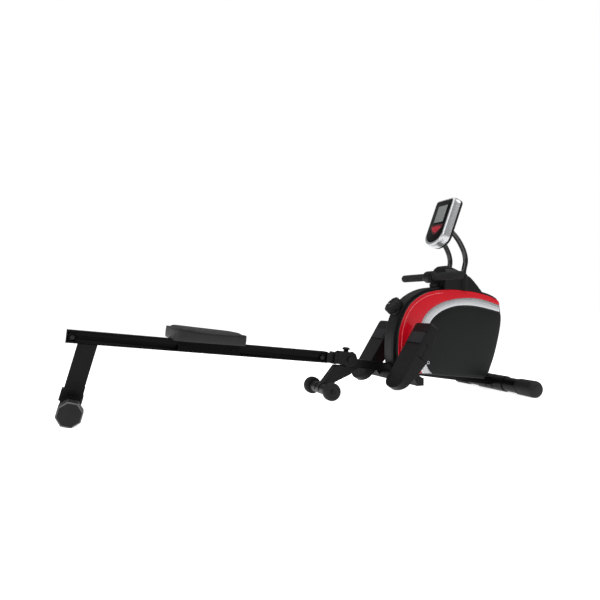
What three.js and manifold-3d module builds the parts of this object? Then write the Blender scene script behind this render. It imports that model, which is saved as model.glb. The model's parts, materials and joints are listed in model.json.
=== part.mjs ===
// Folding magnetic rowing machine, in millimetres: +X to the flywheel end, +Z up, Y = 0 the middle plane.
// The user sits facing +X. The model stands on Z = 0 with its origin under the middle of its length.
import * as THREE from "three";
import { mergeVertices } from "three/addons/utils/BufferGeometryUtils.js";
import Module from "manifold-3d";

const wasm = await Module();
wasm.setup();

// ---- driving dimensions -------------------------------------------------------------------------
const gap = 0.3; // between pieces that touch
const running = 0.15; // between a shaft and its bore, on the radius

const railSlope = THREE.MathUtils.degToRad(6.2);
const railLength = 973;
const railHeight = 45;
const railWidth = 44;
const railTopFlange = 7;
const railBottomFlange = 6;
const railWeb = 24;
const railToPivot = 98; // from the rail's front end to the fold pivot
const pivotHeight = 163.8;
const pivotRadius = 8;

const rearFootSpread = 397; // over the rear foot's end caps
const rearCapRadius = 43; // to the corners of its eight sides
const rearTubeRadius = 29;
const rearCapLength = 62;
const legLean = THREE.MathUtils.degToRad(16);
const legWidth = 65;
const legBehind = 5; // leg's middle line behind the middle of the foot
const legDepth = 40;

const beamDepth = 40; // main beam, across the machine
const beamHeight = 35;
const beamDrop = 13.3; // beam's middle line under the fold pivot
const lobeRadius = 24; // rounded rear end of the beam, round the pivot
const pivotToFrontFoot = 737;

const frontFootSpread = 550;
const frontCapRadius = 35.5;
const frontCapLength = 109;
const frontTubeRadius = 31;
const frontSaddleSpread = 170;

const wheelRadius = 35;
const wheelWidth = 33;
const wheelSpacing = 202;
const wheelBack = 114; // wheel axle behind the fold pivot
const wheelHeight = 49;

const pedalSpacing = 310; // between the middles of the two footplates
const pedalWidth = 120;
const pedalLength = 296;
const pedalThickness = 14;
const pedalSkirt = 4; // wall round the footplate's underside
const pedalDepth = 50;
const pedalAngle = THREE.MathUtils.degToRad(57.7);
const pedalPivotForward = 197; // from the fold pivot
const pedalPivotHeight = 112;
const pedalPinRadius = 7;

const seatBack = 597; // middle of the seat behind the fold pivot, along the rail
const seatLength = 265;
const seatWidth = 310; // at the back
const seatFrontWidth = 252;
const seatForward = 5; // cushion's middle ahead of the seat's
const seatRise = 34.5; // underside of the cushion above the rail's middle line
const rollerRadius = 13.2;
const rollerWidth = 11;
const rollerPinRadius = 4;

const shroudForward = 205; // rear edge of the shroud, from the fold pivot
const shroudHalf = 56; // half its thickness, without the coloured covers
const shroudWall = 3;
const rimHalf = 38; // half the width of the raised band round the shroud
const rimProud = 12;
const coverThickness = 3.5;

const flywheelRadius = 115;
const flywheelWidth = 16;
const flywheelPulleyRadius = 22;
const drivePulleyRadius = 62;
const axleRadius = 8;
const reelRadius = 34;
const beltThickness = 3;
const beltWidth = 8;

const handleHeight = 505;
const handleSpread = 438;
const gripRadius = 16.5;
const handleTubeRadius = 11;
const handleBlockRadius = 26;
const handleBlockLength = 60;
const strapWidth = 28;
const strapThickness = 2;

const consoleTilt = THREE.MathUtils.degToRad(21);
const consoleHeight = 836; // height of the console face's reference line
const consoleHalf = 70;
const consoleFrameWidth = 10;
const consoleDepth = 45;
const consoleBackDepth = 13;
const tubeRadius = 11;
const tubeHalfSpacing = 56;

const knobRadius = 38;
const knobLength = 30;

// ---- finishes -----------------------------------------------------------------------------------
const finish = (color, roughness, metalness) => new THREE.MeshStandardMaterial({ color, roughness, metalness });
const finishes = {
  paint: finish(0x1b1c1e, 0.45, 0.3),
  rail: finish(0x141517, 0.4, 0.4),
  plastic: finish(0x26272a, 0.6, 0),
  panel: finish(0x2c2d2f, 0.55, 0),
  red: finish(0xc8102e, 0.25, 0),
  silver: finish(0xc9cbce, 0.3, 0.4),
  rubber: finish(0x232426, 0.85, 0),
  foam: finish(0x3a3b3d, 0.95, 0),
  pad: finish(0x3b3c3e, 0.8, 0),
  webbing: finish(0x202124, 0.9, 0),
  steel: finish(0x9a9da1, 0.35, 1),
  iron: finish(0x4a4c4f, 0.6, 0.8),
  screen: finish(0x8c9092, 0.2, 0),
};

// ---- solids -------------------------------------------------------------------------------------
const toSolid = (geometry) => {
  const bare = geometry.clone();
  bare.deleteAttribute("normal");
  bare.deleteAttribute("uv");
  const merged = mergeVertices(bare, 1e-3);
  const vertProperties = new Float32Array(merged.attributes.position.array);
  const triVerts = new Uint32Array(merged.index.array);
  return new wasm.Manifold(new wasm.Mesh({ numProp: 3, vertProperties, triVerts }));
};

const toGeometry = (solid) => {
  const mesh = solid.getMesh();
  const geometry = new THREE.BufferGeometry();
  geometry.setAttribute("position", new THREE.BufferAttribute(new Float32Array(mesh.vertProperties), 3));
  geometry.setIndex(new THREE.BufferAttribute(new Uint32Array(mesh.triVerts), 1));
  geometry.computeVertexNormals();
  return geometry;
};

const combine = (how, first, rest) => toGeometry(rest.reduce((sum, next) => sum[how](toSolid(next)), toSolid(first)));
const join = (first, ...rest) => combine("add", first, rest);
const cut = (first, ...rest) => combine("subtract", first, rest);
const common = (first, ...rest) => combine("intersect", first, rest);

const outline = (points) => new THREE.Shape(points.map(([x, z]) => new THREE.Vector2(x, z)));

// A flat outline in X and Z, made solid between two values of Y.
const slabY = (shape, fromY, toY) => {
  const geometry = new THREE.ExtrudeGeometry(shape, { depth: toY - fromY, bevelEnabled: false, curveSegments: 3 });
  return geometry.rotateX(Math.PI / 2).translate(0, toY, 0);
};

// A flat outline in Y and Z, made solid between two values of X.
const slabX = (shape, fromX, toX) => {
  const geometry = new THREE.ExtrudeGeometry(shape, { depth: toX - fromX, bevelEnabled: false, curveSegments: 2 });
  const turn = new THREE.Matrix4().makeBasis(
    new THREE.Vector3(0, 1, 0),
    new THREE.Vector3(0, 0, 1),
    new THREE.Vector3(1, 0, 0),
  );
  return geometry.applyMatrix4(turn).translate(fromX, 0, 0);
};

// A flat outline in X and Y, made solid between two values of Z.
const slabZ = (shape, fromZ, toZ) => {
  const geometry = new THREE.ExtrudeGeometry(shape, { depth: toZ - fromZ, bevelEnabled: false, curveSegments: 3 });
  return geometry.translate(0, 0, fromZ);
};

const block = (fromX, toX, fromY, toY, fromZ, toZ) =>
  new THREE.BoxGeometry(toX - fromX, toY - fromY, toZ - fromZ).translate(
    (fromX + toX) / 2,
    (fromY + toY) / 2,
    (fromZ + toZ) / 2,
  );

const rodY = (radius, fromY, toY, x = 0, z = 0, sides = 24) =>
  new THREE.CylinderGeometry(radius, radius, toY - fromY, sides).translate(x, (fromY + toY) / 2, z);

const rodZ = (radius, fromZ, toZ, x = 0, y = 0, sides = 24) =>
  new THREE.CylinderGeometry(radius, radius, toZ - fromZ, sides).rotateX(Math.PI / 2).translate(x, y, (fromZ + toZ) / 2);

// A ring or disc turned about Y from its closed section in [radius, y].
const turned = (section, sides = 24) => {
  const points = section.map(([radius, y]) => new THREE.Vector2(radius, y));
  return new THREE.LatheGeometry(points, sides);
};

const roundedRectangle = (halfX, halfY, radius) => {
  const shape = new THREE.Shape();
  shape.absarc(halfX - radius, halfY - radius, radius, 0, Math.PI / 2);
  shape.absarc(radius - halfX, halfY - radius, radius, Math.PI / 2, Math.PI);
  shape.absarc(radius - halfX, radius - halfY, radius, Math.PI, Math.PI * 1.5);
  shape.absarc(halfX - radius, radius - halfY, radius, Math.PI * 1.5, Math.PI * 2);
  return shape;
};

const smooth = (points, steps) => {
  const curve = new THREE.SplineCurve(points.map(([x, z]) => new THREE.Vector2(x, z)));
  return curve.getPoints(steps).map((point) => [point.x, point.y]);
};

const arc = (x, z, radius, from, to, steps) =>
  Array.from({ length: steps + 1 }, (_, i) => {
    const angle = from + ((to - from) * i) / steps;
    return [x + radius * Math.cos(angle), z + radius * Math.sin(angle)];
  });

// A run of points moved sideways: to its left for a positive distance.
const offset = (points, distance) =>
  points.map((point, i) => {
    const before = points[Math.max(i - 1, 0)];
    const after = points[Math.min(i + 1, points.length - 1)];
    const along = new THREE.Vector2(after[0] - before[0], after[1] - before[1]).normalize();
    return [point[0] - along.y * distance, point[1] + along.x * distance];
  });

const mirrored = (geometry) => {
  const other = geometry.clone().scale(1, -1, 1);
  const index = other.index ? Array.from(other.index.array) : [...Array(other.attributes.position.count).keys()];
  for (let i = 0; i < index.length; i += 3) [index[i + 1], index[i + 2]] = [index[i + 2], index[i + 1]];
  other.setIndex(index);
  return other;
};

const machine = new THREE.Group();

const frameAt = (x, z, turn = 0, parent = machine) => {
  const group = new THREE.Group();
  group.position.set(x, 0, z);
  group.rotation.y = turn;
  parent.add(group);
  return group;
};

const add = (parent, name, geometry, material) => {
  const mesh = new THREE.Mesh(geometry, material);
  mesh.name = name;
  parent.add(mesh);
  return mesh;
};

// The left piece stands at +Y and the right piece at -Y.
const addPair = (parent, name, geometry, material) => {
  add(parent, `${name}_left`, geometry, material);
  add(parent, `${name}_right`, mirrored(geometry), material);
};

// ---- stations worked out from the driving dimensions ------------------------------------------------
const pivotX = rearCapRadius + (railLength + railToPivot) * Math.cos(railSlope) - 10.6;
const railRear = -(railLength + railToPivot); // along the rail, from the pivot
const railFront = -railToPivot;
const frontFootX = pivotX + pivotToFrontFoot;
const overallLength = frontFootX + frontCapRadius;
const frontFootHeight = frontCapRadius - 0.8; // the caps stand on a narrow flat
const rearFootHeight = rearCapRadius - 1.7;
const beamSlope = (pivotHeight - beamDrop - frontFootHeight - 3) / pivotToFrontFoot;
const beamMiddle = (forward) => pivotHeight - beamDrop - beamSlope * forward;
const beamHalf = (beamHeight / 2) * Math.sqrt(1 + beamSlope * beamSlope); // measured upright

machine.position.x = -overallLength / 2;
const pivot = frameAt(pivotX, 0); // X from the fold pivot, Z from the floor
const rail = frameAt(pivotX, pivotHeight, railSlope); // X along the rail, Z square to it
const drive = frameAt(shroudForward, 0, 0, pivot); // X from the shroud's rear edge

// ---- rail, which folds up about the pivot -----------------------------------------------------------
const railSection = () => {
  const top = railHeight / 2;
  const half = railWidth / 2;
  const web = railWeb / 2;
  const right = [
    [half, -top],
    [half, railBottomFlange - top],
    [web, railBottomFlange - top],
    [web, top - railTopFlange],
    [half, top - railTopFlange],
    [half, top],
  ];
  const left = right.map(([y, z]) => [-y, z]).reverse();
  return outline([...right, ...left]);
};
const carriageForward = 18; // carriage ahead of the middle of the seat
const rollerReach = 88;
const seatTravelBack = 366;
const seatTravelForward = 350;
const rollerHeight = railBottomFlange - railHeight / 2 + gap + rollerRadius;
const stopRadius = 8;
const stopCore = 5;
const stopAt = (side, travel) => carriageForward - seatBack + side * (rollerReach + travel + rollerRadius + 0.6 + stopRadius);
const rearStop = stopAt(-1, seatTravelBack);
const frontStop = stopAt(1, seatTravelForward);
const stopHole = (x) => rodY(stopCore + gap, -railWidth, railWidth, x, rollerHeight);
const railBody = cut(slabX(railSection(), railRear, railFront), stopHole(rearStop), stopHole(frontStop));
add(rail, "rail", railBody, finishes.rail);

const endCapThickness = 4;
const railEndCap = slabX(roundedRectangle(railWidth / 2 + 1, railHeight / 2 + 1, 4), 0, endCapThickness);
railEndCap.translate(railRear - endCapThickness - gap, 0, 0);
add(rail, "rail_end_cap", railEndCap, finishes.plastic);

// A stop is a bolt through the rail's web with a rubber sleeve in each groove, where the rollers meet it.
const addStop = (name, x) => {
  const sleeve = rodY(stopRadius, railWeb / 2 + gap, railWidth / 2 - 1.5, x, rollerHeight);
  const core = rodY(stopCore, -railWidth / 2 + 2, railWidth / 2 - 2, x, rollerHeight);
  add(rail, name, join(core, sleeve, mirrored(sleeve)), finishes.rubber);
};
addStop("seat_stop_rear", rearStop);
addStop("seat_stop_front", frontStop);

// Hinge knuckle: a plug towards the rail, a sleeve, two cheeks round the beam and a bridge for the pin.
const cheekGap = beamDepth / 2 + 0.6;
const cheekHalf = cheekGap + 8;
const cheekRadius = 33;
const sleeveHalf = 22.5;
const sleeveFrom = -68;
const sleeveTo = -34;
const collarThickness = 7;
const bridgeFrom = -44;
const bridgeTo = -2;
const bridgeTop = 29;
const bridgeBottom = 26;
const barrelHeight = 2;
const pinBack = 9; // lock pin behind the pivot
const pinRadius = 4;
const knuckle = () => {
  const plug = block(railFront + gap, sleeveFrom + 1, -18, 18, 1 - railHeight / 2, railHeight / 2 - 4);
  const sleeve = block(sleeveFrom, sleeveTo, -cheekHalf, cheekHalf, -sleeveHalf, sleeveHalf);
  const collarEdge = sleeveHalf + 1.8;
  const collar = block(sleeveFrom, sleeveFrom + collarThickness, -cheekHalf - 2, cheekHalf + 2, -collarEdge, collarEdge);
  const cheekShape = new THREE.Shape();
  cheekShape.moveTo(sleeveTo - 12, -sleeveHalf);
  cheekShape.lineTo(-20, -24);
  cheekShape.absarc(0, 0, cheekRadius, Math.PI * 1.3, Math.PI * 0.42);
  cheekShape.lineTo(bridgeTo, bridgeTop);
  cheekShape.lineTo(bridgeFrom + 8, bridgeTop);
  cheekShape.lineTo(sleeveTo - 12, sleeveHalf);
  const cheek = slabY(cheekShape, cheekGap, cheekHalf);
  const bridge = block(bridgeFrom + 6, bridgeTo, -cheekHalf, cheekHalf, bridgeBottom, bridgeTop);
  const barrel = rodZ(8, bridgeTop - 1, bridgeTop + barrelHeight, -pinBack);
  const pinHole = rodZ(pinRadius + running, 0, bridgeTop + 20, -pinBack);
  const pivotHole = rodY(pivotRadius + running, -cheekHalf - 1, cheekHalf + 1);
  return cut(join(plug, sleeve, collar, cheek, mirrored(cheek), bridge, barrel), pinHole, pivotHole);
};
add(rail, "hinge_knuckle", knuckle(), finishes.plastic);

const knobFoot = bridgeTop + barrelHeight + gap;
const pinTip = Math.sqrt(lobeRadius ** 2 - (pinBack - pinRadius) ** 2) + 1.2;
const lockKnob = join(
  rodZ(pinRadius, pinTip, knobFoot + 2, -pinBack),
  rodZ(11, knobFoot, knobFoot + 4, -pinBack, 0, 20),
  new THREE.SphereGeometry(16, 18, 10).rotateX(Math.PI / 2).scale(1, 1, 0.46).translate(-pinBack, 0, knobFoot + 8.6),
);
add(rail, "fold_lock_knob", lockKnob, finishes.plastic);

// Rear foot: a leaning leg, a cross tube and two eight-sided end caps.
const rearTubeHalf = rearFootSpread / 2 - 16;
const leg = () => {
  const railUnderside = (x) => {
    const rise = Math.tan(railSlope) * (pivotX - x);
    return pivotHeight + rise - (railHeight / 2 + gap) / Math.cos(railSlope);
  };
  const edge = (side) => {
    const footX = rearCapRadius - legBehind + (side * legWidth) / 2 / Math.cos(legLean);
    const slope = Math.tan(legLean);
    const railTilt = Math.tan(railSlope);
    const top = (railUnderside(footX) - rearFootHeight) / (1 + slope * railTilt);
    return [
      [footX, rearFootHeight],
      [footX + top * slope, rearFootHeight + top],
    ];
  };
  const [rearFoot, rearTop] = edge(-1);
  const [frontFoot, frontTop] = edge(1);
  const body = slabY(outline([rearFoot, frontFoot, frontTop, rearTop]), -legDepth / 2, legDepth / 2);
  const along = (foot, up, aside) => [foot[0] + up * Math.tan(legLean) + aside, rearFootHeight + up];
  const cuffShape = outline([along(rearFoot, 20, -7), along(frontFoot, 20, 2), along(frontFoot, 60, 2), along(rearFoot, 60, -7)]);
  const cuff = slabY(cuffShape, -legDepth / 2 - 2, legDepth / 2 + 2);
  return cut(join(body, cuff), rodY(rearTubeRadius + gap, -legDepth, legDepth, rearCapRadius, rearFootHeight));
};
add(machine, "rear_leg", leg(), finishes.paint);

const rearFoot = frameAt(rearCapRadius, rearFootHeight);
add(rearFoot, "rear_foot_tube", rodY(rearTubeRadius, -rearTubeHalf, rearTubeHalf), finishes.paint);

const rearCap = () => {
  const outer = rearFootSpread / 2;
  const inner = outer - rearCapLength;
  const bevel = 4;
  const turnToLeg = Math.PI / 8 + legLean;
  const section = [
    [0, inner],
    [rearCapRadius, inner],
    [rearCapRadius, outer - bevel],
    [rearCapRadius - bevel, outer],
    [0, outer],
  ];
  const cap = turned(section, 8).rotateY(turnToLeg);
  const socket = rodY(rearTubeRadius + gap, inner - 1, rearTubeHalf + gap);
  const floor = block(-60, 60, inner - 1, outer + 1, -rearFootHeight - 10, -rearFootHeight);
  return cut(cap, socket, floor);
};
addPair(rearFoot, "rear_foot_cap", rearCap(), finishes.rubber);

// ---- seat -------------------------------------------------------------------------------------------
const carriageHalf = 116;
const plateInside = 27;
const plateOutside = 30;
const carriageTop = railHeight / 2 + 4;
const carriageSkirt = 4 - railHeight / 2;
const rollerInner = railWeb / 2 + 0.8;

const seat = frameAt(-seatBack, 0, 0, rail);
const carriage = frameAt(carriageForward, 0, 0, seat);
const carriageBody = () => {
  const channel = outline([
    [-plateOutside, carriageSkirt],
    [-plateInside, carriageSkirt],
    [-plateInside, carriageTop],
    [plateInside, carriageTop],
    [plateInside, carriageSkirt],
    [plateOutside, carriageSkirt],
    [plateOutside, carriageTop + 3],
    [-plateOutside, carriageTop + 3],
  ]);
  const pins = [];
  for (const x of [-rollerReach, rollerReach]) {
    const pin = rodY(rollerPinRadius, rollerInner, plateInside + 1, x, rollerHeight, 24);
    const head = rodY(7, plateOutside - 1, plateOutside + 4, x, rollerHeight, 6);
    pins.push(pin, head, mirrored(pin), mirrored(head));
  }
  return join(slabX(channel, -carriageHalf, carriageHalf), ...pins);
};
add(carriage, "seat_carriage", carriageBody(), finishes.paint);

const roller = () => {
  const bore = rollerPinRadius + running;
  const outer = rollerInner + rollerWidth;
  return turned(
    [
      [bore, rollerInner + gap],
      [rollerRadius, rollerInner + gap],
      [rollerRadius, outer - 1],
      [rollerRadius - 1, outer],
      [bore, outer],
      [bore, rollerInner + gap],
    ],
    20,
  );
};
for (const [place, x] of [["rear", -rollerReach], ["front", rollerReach]]) {
  addPair(frameAt(x, rollerHeight, 0, carriage), `seat_roller_${place}`, roller(), finishes.rubber);
}

const seatBaseBottom = carriageTop + 3 + gap;

// Plan of the cushion: wider at the back, with round corners, drawn in by an inset.
const seatPlan = (inset) => {
  const half = seatLength / 2 - inset;
  const corners = [[-half, seatWidth / 2 - inset, 36 - inset / 2], [half, seatFrontWidth / 2 - inset, 40 - inset / 2]];
  const points = [];
  const quarter = (x, y, radius, from) => points.push(...arc(x, y, radius, from, from + Math.PI / 2, 5));
  const [[rearX, rearY, rearRound], [frontX, frontY, frontRound]] = corners;
  quarter(frontX - frontRound, frontY - frontRound, frontRound, 0);
  quarter(rearX + rearRound, rearY - rearRound, rearRound, Math.PI / 2);
  quarter(rearX + rearRound, rearRound - rearY, rearRound, Math.PI);
  quarter(frontX - frontRound, frontRound - frontY, frontRound, Math.PI * 1.5);
  return outline(points.map(([x, y]) => [x + seatForward, y]));
};
const seatBase = cut(
  slabZ(seatPlan(10), seatBaseBottom - 7, seatRise - gap),
  block(-seatLength, seatLength, -plateOutside - 6, plateOutside + 6, 0, seatBaseBottom),
);
add(seat, "seat_base", seatBase, finishes.plastic);

const seatPad = () => {
  const half = seatLength / 2;
  const rearTop = seatRise + 35;
  const frontTop = seatRise + 31;
  const profile = [[-half, rearTop - 7], [-half + 16, rearTop], [0, frontTop], [half - 18, frontTop], [half, frontTop - 8]];
  const crown = smooth(profile.map(([x, z]) => [x + seatForward, z]), 20);
  const side = outline([[seatForward - half, seatRise], [seatForward + half, seatRise], ...crown.reverse()]);
  return common(slabY(side, -seatWidth, seatWidth), slabZ(seatPlan(0), 0, rearTop * 2));
};
add(seat, "seat_pad", seatPad(), finishes.pad);

// ---- main beam, leg with transport wheels, front foot -------------------------------------------------
const beam = () => {
  const rearX = -20;
  const frontX = pivotToFrontFoot - 10;
  const side = outline([
    [rearX, beamMiddle(rearX) - beamHalf],
    [frontX, beamMiddle(frontX) - beamHalf],
    [frontX, beamMiddle(frontX) + beamHalf],
    [0, beamMiddle(0) + beamHalf],
    [rearX, pivotHeight],
  ]);
  const half = beamDepth / 2;
  const lobe = rodY(lobeRadius, -half, half, 0, pivotHeight);
  const hole = rodY(pivotRadius + running, -half - 1, half + 1, 0, pivotHeight);
  const foot = rodY(frontTubeRadius + 4 + gap, -half - 1, half + 1, pivotToFrontFoot, frontFootHeight, 48);
  return cut(join(slabY(side, -half, half), lobe), hole, foot);
};
add(pivot, "main_beam", beam(), finishes.paint);

const boltHead = (inner, outer, radius) => rodY(radius, inner, outer, 0, pivotHeight, 6);
const boltFace = cheekHalf + gap;
const foldBolt = join(
  rodY(pivotRadius, -boltFace - 1, boltFace + 1, 0, pivotHeight),
  boltHead(boltFace, boltFace + 6, 13),
  boltHead(-boltFace - 7, -boltFace, 13),
);
add(pivot, "fold_bolt", foldBolt, finishes.steel);

const wheelTubeRadius = 22;
const wheelTubeHalf = (wheelSpacing - wheelWidth) / 2 - 4;
const legPlate = () => {
  const beamUnder = (x) => beamMiddle(x) - beamHalf - gap;
  const underKnuckle = pivotHeight - sleeveHalf - 1.8 - 1;
  const side = outline([
    [-wheelBack - 8, wheelHeight + 17],
    [-wheelBack + 19, wheelHeight - 8],
    [-wheelBack + 54, wheelHeight + 25],
    [4, beamUnder(4) - 32],
    [42, beamUnder(42)],
    [-20 - gap, beamUnder(-20)],
    [-20 - gap, underKnuckle],
    [-58, underKnuckle + 3],
    [-wheelBack + 11, wheelHeight + 38],
  ]);
  const half = beamDepth / 2 - 1;
  return cut(
    slabY(side, -half, half),
    rodY(wheelTubeRadius + gap, -half - 1, half + 1, -wheelBack, wheelHeight),
  );
};
add(pivot, "wheel_leg", legPlate(), finishes.paint);

const wheelInner = (wheelSpacing - wheelWidth) / 2;
const wheelOuter = (wheelSpacing + wheelWidth) / 2;
const wheelBar = frameAt(-wheelBack, wheelHeight, 0, pivot);
const wheelTube = () => {
  const nut = rodY(11, wheelOuter + gap, wheelOuter + 6, 0, 0, 6);
  return join(
    rodY(wheelTubeRadius, -wheelTubeHalf, wheelTubeHalf),
    rodY(axleRadius, -wheelOuter - 1, wheelOuter + 1),
    nut,
    mirrored(nut),
  );
};
add(wheelBar, "wheel_tube", wheelTube(), finishes.paint);

const wheel = () => {
  const bore = axleRadius + running;
  return turned([
    [bore, wheelInner],
    [wheelRadius - 12, wheelInner],
    [wheelRadius - 3, wheelInner + 3],
    [wheelRadius, wheelInner + 8],
    [wheelRadius, wheelOuter - 8],
    [wheelRadius - 3, wheelOuter - 3],
    [wheelRadius - 12, wheelOuter],
    [bore, wheelOuter],
    [bore, wheelInner],
  ]);
};
addPair(wheelBar, "transport_wheel", wheel(), finishes.rubber);

const frontFoot = frameAt(pivotToFrontFoot, frontFootHeight, 0, pivot);
const frontTubeHalf = frontFootSpread / 2 - 40;
const frontTube = join(
  rodY(frontTubeRadius, -frontTubeHalf, frontTubeHalf),
  rodY(frontTubeRadius + 4 - gap, -frontSaddleSpread / 2, frontSaddleSpread / 2, 0, 0, 40),
);
const frontFloor = block(-60, 60, -300, 300, -60, -frontFootHeight);
add(frontFoot, "front_foot_tube", cut(frontTube, frontFloor), finishes.paint);

const frontCap = () => {
  const outer = frontFootSpread / 2;
  const inner = outer - frontCapLength;
  const round = 22;
  const section = [[0, inner], [frontCapRadius - 1.5, inner], [frontCapRadius, outer - round]];
  for (const turn of [25, 50, 75]) {
    const angle = THREE.MathUtils.degToRad(turn);
    section.push([frontCapRadius - round * (1 - Math.cos(angle)), outer - round + round * Math.sin(angle)]);
  }
  section.push([0, outer]);
  const socket = rodY(frontTubeRadius + gap, inner - 1, frontTubeHalf + gap);
  return cut(turned(section), socket, frontFloor);
};
addPair(frontFoot, "front_foot_cap", frontCap(), finishes.rubber);

// ---- footplates ---------------------------------------------------------------------------------------
const pedalBarSize = 31;
const pedalBarForward = pedalPivotForward + 28;
const pedalBarHeight = pedalPivotHeight - 29;
const pedalInner = (pedalSpacing - pedalWidth) / 2;
const pedalOuter = (pedalSpacing + pedalWidth) / 2;
const pedalBarHalf = 195;
const lugInner = pedalInner + 17;
const lugThickness = 6;
const lugOuter = pedalBarHalf - 1 - lugThickness;
const lugRadius = 12;
const pedalBar = () => {
  const half = pedalBarSize / 2;
  const barZ = [pedalBarHeight - half, pedalBarHeight + half];
  const bar = block(pedalBarForward - half, pedalBarForward + half, -pedalBarHalf, pedalBarHalf, ...barZ);
  const beamRoom = slabY(
    outline([
      [pedalBarForward - 40, beamMiddle(pedalBarForward - 40) - beamHalf - gap],
      [pedalBarForward + 40, beamMiddle(pedalBarForward + 40) - beamHalf - gap],
      [pedalBarForward + 40, beamMiddle(0)],
      [pedalBarForward - 40, beamMiddle(0)],
    ]),
    -beamDepth / 2 - gap,
    beamDepth / 2 + gap,
  );
  const lugShape = new THREE.Shape();
  lugShape.absarc(pedalPivotForward, pedalPivotHeight, lugRadius, Math.PI * 0.35, Math.PI * 1.25);
  lugShape.lineTo(pedalBarForward - half + 2, barZ[0] + 6);
  lugShape.lineTo(pedalBarForward + half - 4, barZ[1] - 2);
  const pieces = [];
  for (const y of [lugInner, lugOuter]) pieces.push(slabY(lugShape, y, y + lugThickness));
  pieces.push(rodY(pedalPinRadius, lugInner - 4, lugOuter + lugThickness + 4, pedalPivotForward, pedalPivotHeight, 24));
  return join(cut(bar, beamRoom), ...pieces, ...pieces.map(mirrored));
};
add(pivot, "pedal_bar", pedalBar(), finishes.paint);

// In the footplate's frame X runs from heel to toe, Z points at the sole of the shoe, and the pin is at 0.
const pedalFace = 47;
const pedalHeel = 88;
const pedalToe = pedalLength - pedalHeel;
const slotLength = 54;
const slotMiddle = pedalToe - 68;
const slotInset = 10;
const pedalPlan = (inset = 0) => {
  const inner = pedalInner + inset;
  const outer = pedalOuter - inset;
  const toe = pedalToe - inset;
  const heel = inset - pedalHeel;
  const shape = new THREE.Shape();
  shape.moveTo(toe - 14, inner);
  shape.quadraticCurveTo(toe, inner, toe, inner + 14);
  shape.lineTo(toe, outer - 14);
  shape.quadraticCurveTo(toe, outer, toe - 14, outer);
  shape.lineTo(heel + 34, outer);
  shape.quadraticCurveTo(heel + 4, outer - 4, heel, (inner + outer) / 2);
  shape.quadraticCurveTo(heel + 4, inner + 4, heel + 34, inner);
  return shape;
};
const footplate = () => {
  const middle = (pedalInner + pedalOuter) / 2;
  const back = pedalFace - pedalThickness;
  const low = pedalFace - pedalDepth;
  const sideShape = outline([
    [-pedalHeel - 1, pedalFace + 1],
    [-pedalHeel - 1, low + 27],
    [-pedalHeel + 34, low + 15],
    [30, low],
    [90, low],
    [pedalToe + 1, back - 12],
    [pedalToe + 1, pedalFace + 1],
  ]);
  const outside = common(slabZ(pedalPlan(), low, pedalFace), slabY(sideShape, 0, pedalOuter + 1));
  const body = cut(outside, slabZ(pedalPlan(pedalSkirt), low - 1, back));
  const hubFrom = lugInner + lugThickness + 1;
  const hubTo = lugOuter - 1;
  const hub = rodY(pedalPinRadius + 6, hubFrom, hubTo, 0, 0, 24);
  const rib = block(-11, 11, hubFrom, hubTo, 2, back + 1);
  const bore = rodY(pedalPinRadius + running, hubFrom - 1, hubTo + 1, 0, 0, 24);
  const slots = [pedalInner + slotInset, pedalOuter - slotInset].map((y) =>
    block(slotMiddle - slotLength / 2, slotMiddle + slotLength / 2, y - 2.5, y + 2.5, back - 1, pedalFace + 1),
  );
  const recess = slabZ(roundedRectangle(pedalLength / 2 - 22, pedalWidth / 2 - 24, 12), pedalFace - 3, pedalFace + 1);
  recess.translate((pedalToe - pedalHeel) / 2, middle, 0);
  return cut(join(body, hub, rib), bore, ...slots, recess);
};
const pedals = frameAt(pedalPivotForward, pedalPivotHeight, -pedalAngle, pivot);
addPair(pedals, "footplate", footplate(), finishes.plastic);

// Webbing strap: a closed flat loop through both slots, lying on the plate.
const footStrap = () => {
  const width = slotLength - 6;
  const loopInner = pedalInner + slotInset;
  const loopOuter = pedalOuter - slotInset;
  const under = pedalFace - pedalThickness - gap;
  const over = pedalFace + gap;
  const loop = outline([
    [loopInner - 1, under - strapThickness],
    [loopOuter + 1, under - strapThickness],
    [loopOuter + 1, over + strapThickness],
    [loopInner - 1, over + strapThickness],
  ]);
  loop.holes.push(
    new THREE.Path(
      [
        [loopInner + 1, under],
        [loopInner + 1, over],
        [loopOuter - 1, over],
        [loopOuter - 1, under],
      ].map(([y, z]) => new THREE.Vector2(y, z)),
    ),
  );
  return slabX(loop, slotMiddle - width / 2, slotMiddle + width / 2);
};
addPair(pedals, "foot_strap", footStrap(), finishes.webbing);

// ---- shroud -----------------------------------------------------------------------------------------
const backAndTop = smooth(
  [[14, 105], [3, 140], [0, 205], [10, 295], [55, 384], [140, 437], [252, 451], [375, 442], [463, 423], [506, 405]],
  22,
);
const front = smooth([[522, 354], [526, 322], [518, 265], [491, 165], [456, 78]], 9);
const shroudLoop = [...backAndTop, [517, 392], ...front, [434, 59]];

const sideShell = () => {
  const whole = slabY(outline(shroudLoop), rimHalf + gap, shroudHalf);
  const inner = [...offset(backAndTop, -shroudWall), [513, 388], ...offset(front, -shroudWall), [434, 40], [14, 80]];
  const hollow = slabY(outline(inner), rimHalf - 5, shroudHalf - shroudWall);
  return cut(whole, hollow);
};
addPair(drive, "shroud", sideShell(), finishes.panel);

const placed = (x, z, turn) => new THREE.Matrix4().makeRotationY(turn).setPosition(x, 0, z);
const toDrive = (geometry, place) => geometry.applyMatrix4(place);
const knobTurn = -THREE.MathUtils.degToRad(49);
const knobPlace = placed(11, 381, knobTurn);
const knobShaftRadius = 5;

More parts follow.
